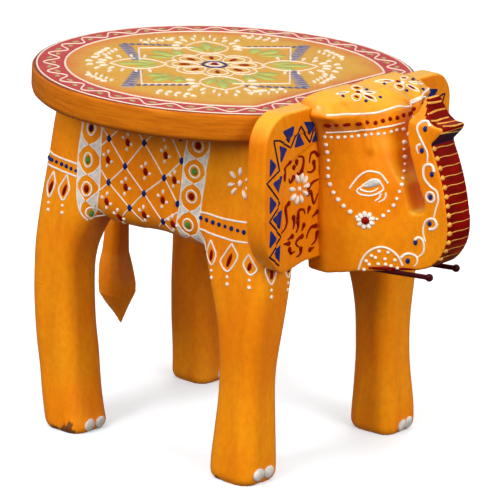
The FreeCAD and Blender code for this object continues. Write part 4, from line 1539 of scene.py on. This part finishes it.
class STOOL_OT_stage(Operator):
    """Set the camera, the floor and the studio lights."""

    bl_idname = "stool.stage"
    bl_label = "Stage"

    # The camera's heading from the stool, height and roll in degrees, its distance, and the point
    # that it looks at
    HEADING, HEIGHT, ROLL = -52.1713, 16.7542, 2.6062
    DISTANCE = 1.963464
    TARGET = Vector((-6.127, 0.0195, 125.549)) * MM
    # The lens in pixels of a 500 pixel picture, as a focal length on a 36 mm sensor
    SENSOR = 36
    LENS = 3004.68 / 500 * SENSOR

    # The studio's radius and height in metres
    STUDIO = 8.0
    # Each sun's turn from the camera to the right, its height, its softness and its strength
    SUNS = (("left", -42, 27, 28, 1.35), ("right", 46, 27, 34, 1.55),
            ("above", -25, 70, 40, 0.35), ("behind", 172, 26, 40, 0.9))

    def execute(self, context):
        lens = bpy.data.cameras.new("camera")
        lens.lens = self.LENS
        lens.sensor_width = self.SENSOR
        lens.clip_start = 0.05
        lens.clip_end = 50
        back = bearing(self.HEADING, self.HEIGHT)
        place = self.TARGET + back * self.DISTANCE
        context.scene.camera = aimed("camera", lens, place, -back, self.ROLL)
        self.surroundings()
        self.world()
        self.lights()
        context.scene.view_settings.view_transform = "Standard"
        return {"FINISHED"}

    def surroundings(self):
        """A pale floor that doesn't tint the wood, and a plain white wall far round it."""
        bm = bmesh.new()
        bmesh.ops.create_circle(bm, cap_ends=True, segments=96, radius=self.STUDIO)
        finish = Finish("studio_floor", 0.8)
        pale = finish.mix(finish.noise(3, detail=1), "floor", srgb(236, 236, 236))
        self.surround("floor", bm, finish, pale, (0.68, 0.88, 1, 1), 0.4, "diffuse", "glossy")
        bm = bmesh.new()
        bmesh.ops.create_cone(bm, segments=96, radius1=self.STUDIO, radius2=self.STUDIO,
                              depth=self.STUDIO)
        bmesh.ops.translate(bm, vec=(0, 0, self.STUDIO / 2), verts=bm.verts)
        bmesh.ops.reverse_faces(bm, faces=bm.faces)
        finish = Finish("studio_wall", 1.0, gloss=0.0)
        self.surround("backdrop", bm, finish, srgb(255, 255, 255), (1, 1, 1, 1), 1.0,
                      "diffuse", "glossy", "transmission", "shadow")

    def surround(self, name, bm, finish, colour, glow, strength, *unseen):
        """One glowing surface of the studio, unseen by some kinds of rays."""
        finish.feed(finish.last, {"Emission Color": glow, "Emission Strength": strength})
        surface = add_object(name, mesh_from(bm, name))
        surface.data.materials.append(finish.done(colour))
        for rays in unseen:
            setattr(surface, "visible_" + rays, False)

    def world(self):
        """A warm dome that is dark below the floor."""
        world = bpy.data.worlds.new("studio")
        bpy.context.scene.world = world
        sky = Nodes(world, "Background")
        height = sky.axis("Z", sky.node("TexCoord")["Generated"])
        light = sky.node("MapRange", {"Value": height, "From Min": -0.15, "From Max": 0.3,
                                      "To Min": 0.1, "To Max": 0.56})["Result"]
        sky.feed(sky.last, {"Color": (1, 0.86, 0.74, 1), "Strength": light})

    def lights(self):
        """Four soft suns, of which only the one above is mirrored, and one small bright lamp."""
        for name, turn, height, softness, strength in self.SUNS:
            light = bpy.data.lights.new(name, "SUN")
            light.energy = strength
            light.angle = math.radians(softness)
            way = -bearing(self.HEADING + turn, height)
            aimed(name, light, (0, 0, 0), way).visible_glossy = name == "above"
        spot = bpy.data.lights.new("sparkle", "AREA")
        spot.shape = "DISK"
        spot.size = 0.2
        spot.energy = 2.2
        place = (bearing(self.HEADING - 50, 0) + Vector((0, 0, 1.3))) * 0.8
        aimed("sparkle", spot, place, self.TARGET - place)


class STOOL_PT_panel(Panel):
    """The stool's pieces and settings in the sidebar."""

    bl_idname = "STOOL_PT_panel"
    bl_label = "Elephant Stool"
    bl_space_type = "VIEW_3D"
    bl_region_type = "UI"
    bl_category = "Elephant Stool"

    def draw(self, context):
        for operator in STEPS:
            self.layout.operator(operator.bl_idname)
        for group in (context.scene.stool_sizes, context.scene.stool_colours):
            for name in group.__annotations__:
                self.layout.prop(group, name)


STEPS = (
    STOOL_OT_stage, STOOL_OT_seat, STOOL_OT_body, STOOL_OT_head, STOOL_OT_ears, STOOL_OT_tail,
    STOOL_OT_small_wood, STOOL_OT_seat_pattern, STOOL_OT_saddle, STOOL_OT_flanks,
    STOOL_OT_toenails, STOOL_OT_ear_pattern, STOOL_OT_head_pattern, STOOL_OT_trunk_pattern,
)
CLASSES = (StoolSizes, StoolColours, *STEPS, STOOL_PT_panel)


def register():
    for cls in CLASSES:
        bpy.utils.register_class(cls)
    bpy.types.Scene.stool_sizes = PointerProperty(type=StoolSizes)
    bpy.types.Scene.stool_colours = PointerProperty(type=StoolColours)


def unregister():
    del bpy.types.Scene.stool_colours
    del bpy.types.Scene.stool_sizes
    for cls in reversed(CLASSES):
        bpy.utils.unregister_class(cls)


def main():
    register()
    for operator in STEPS:
        group, name = operator.bl_idname.split(".")
        getattr(getattr(bpy.ops, group), name)()


if __name__ == "__main__":
    main()
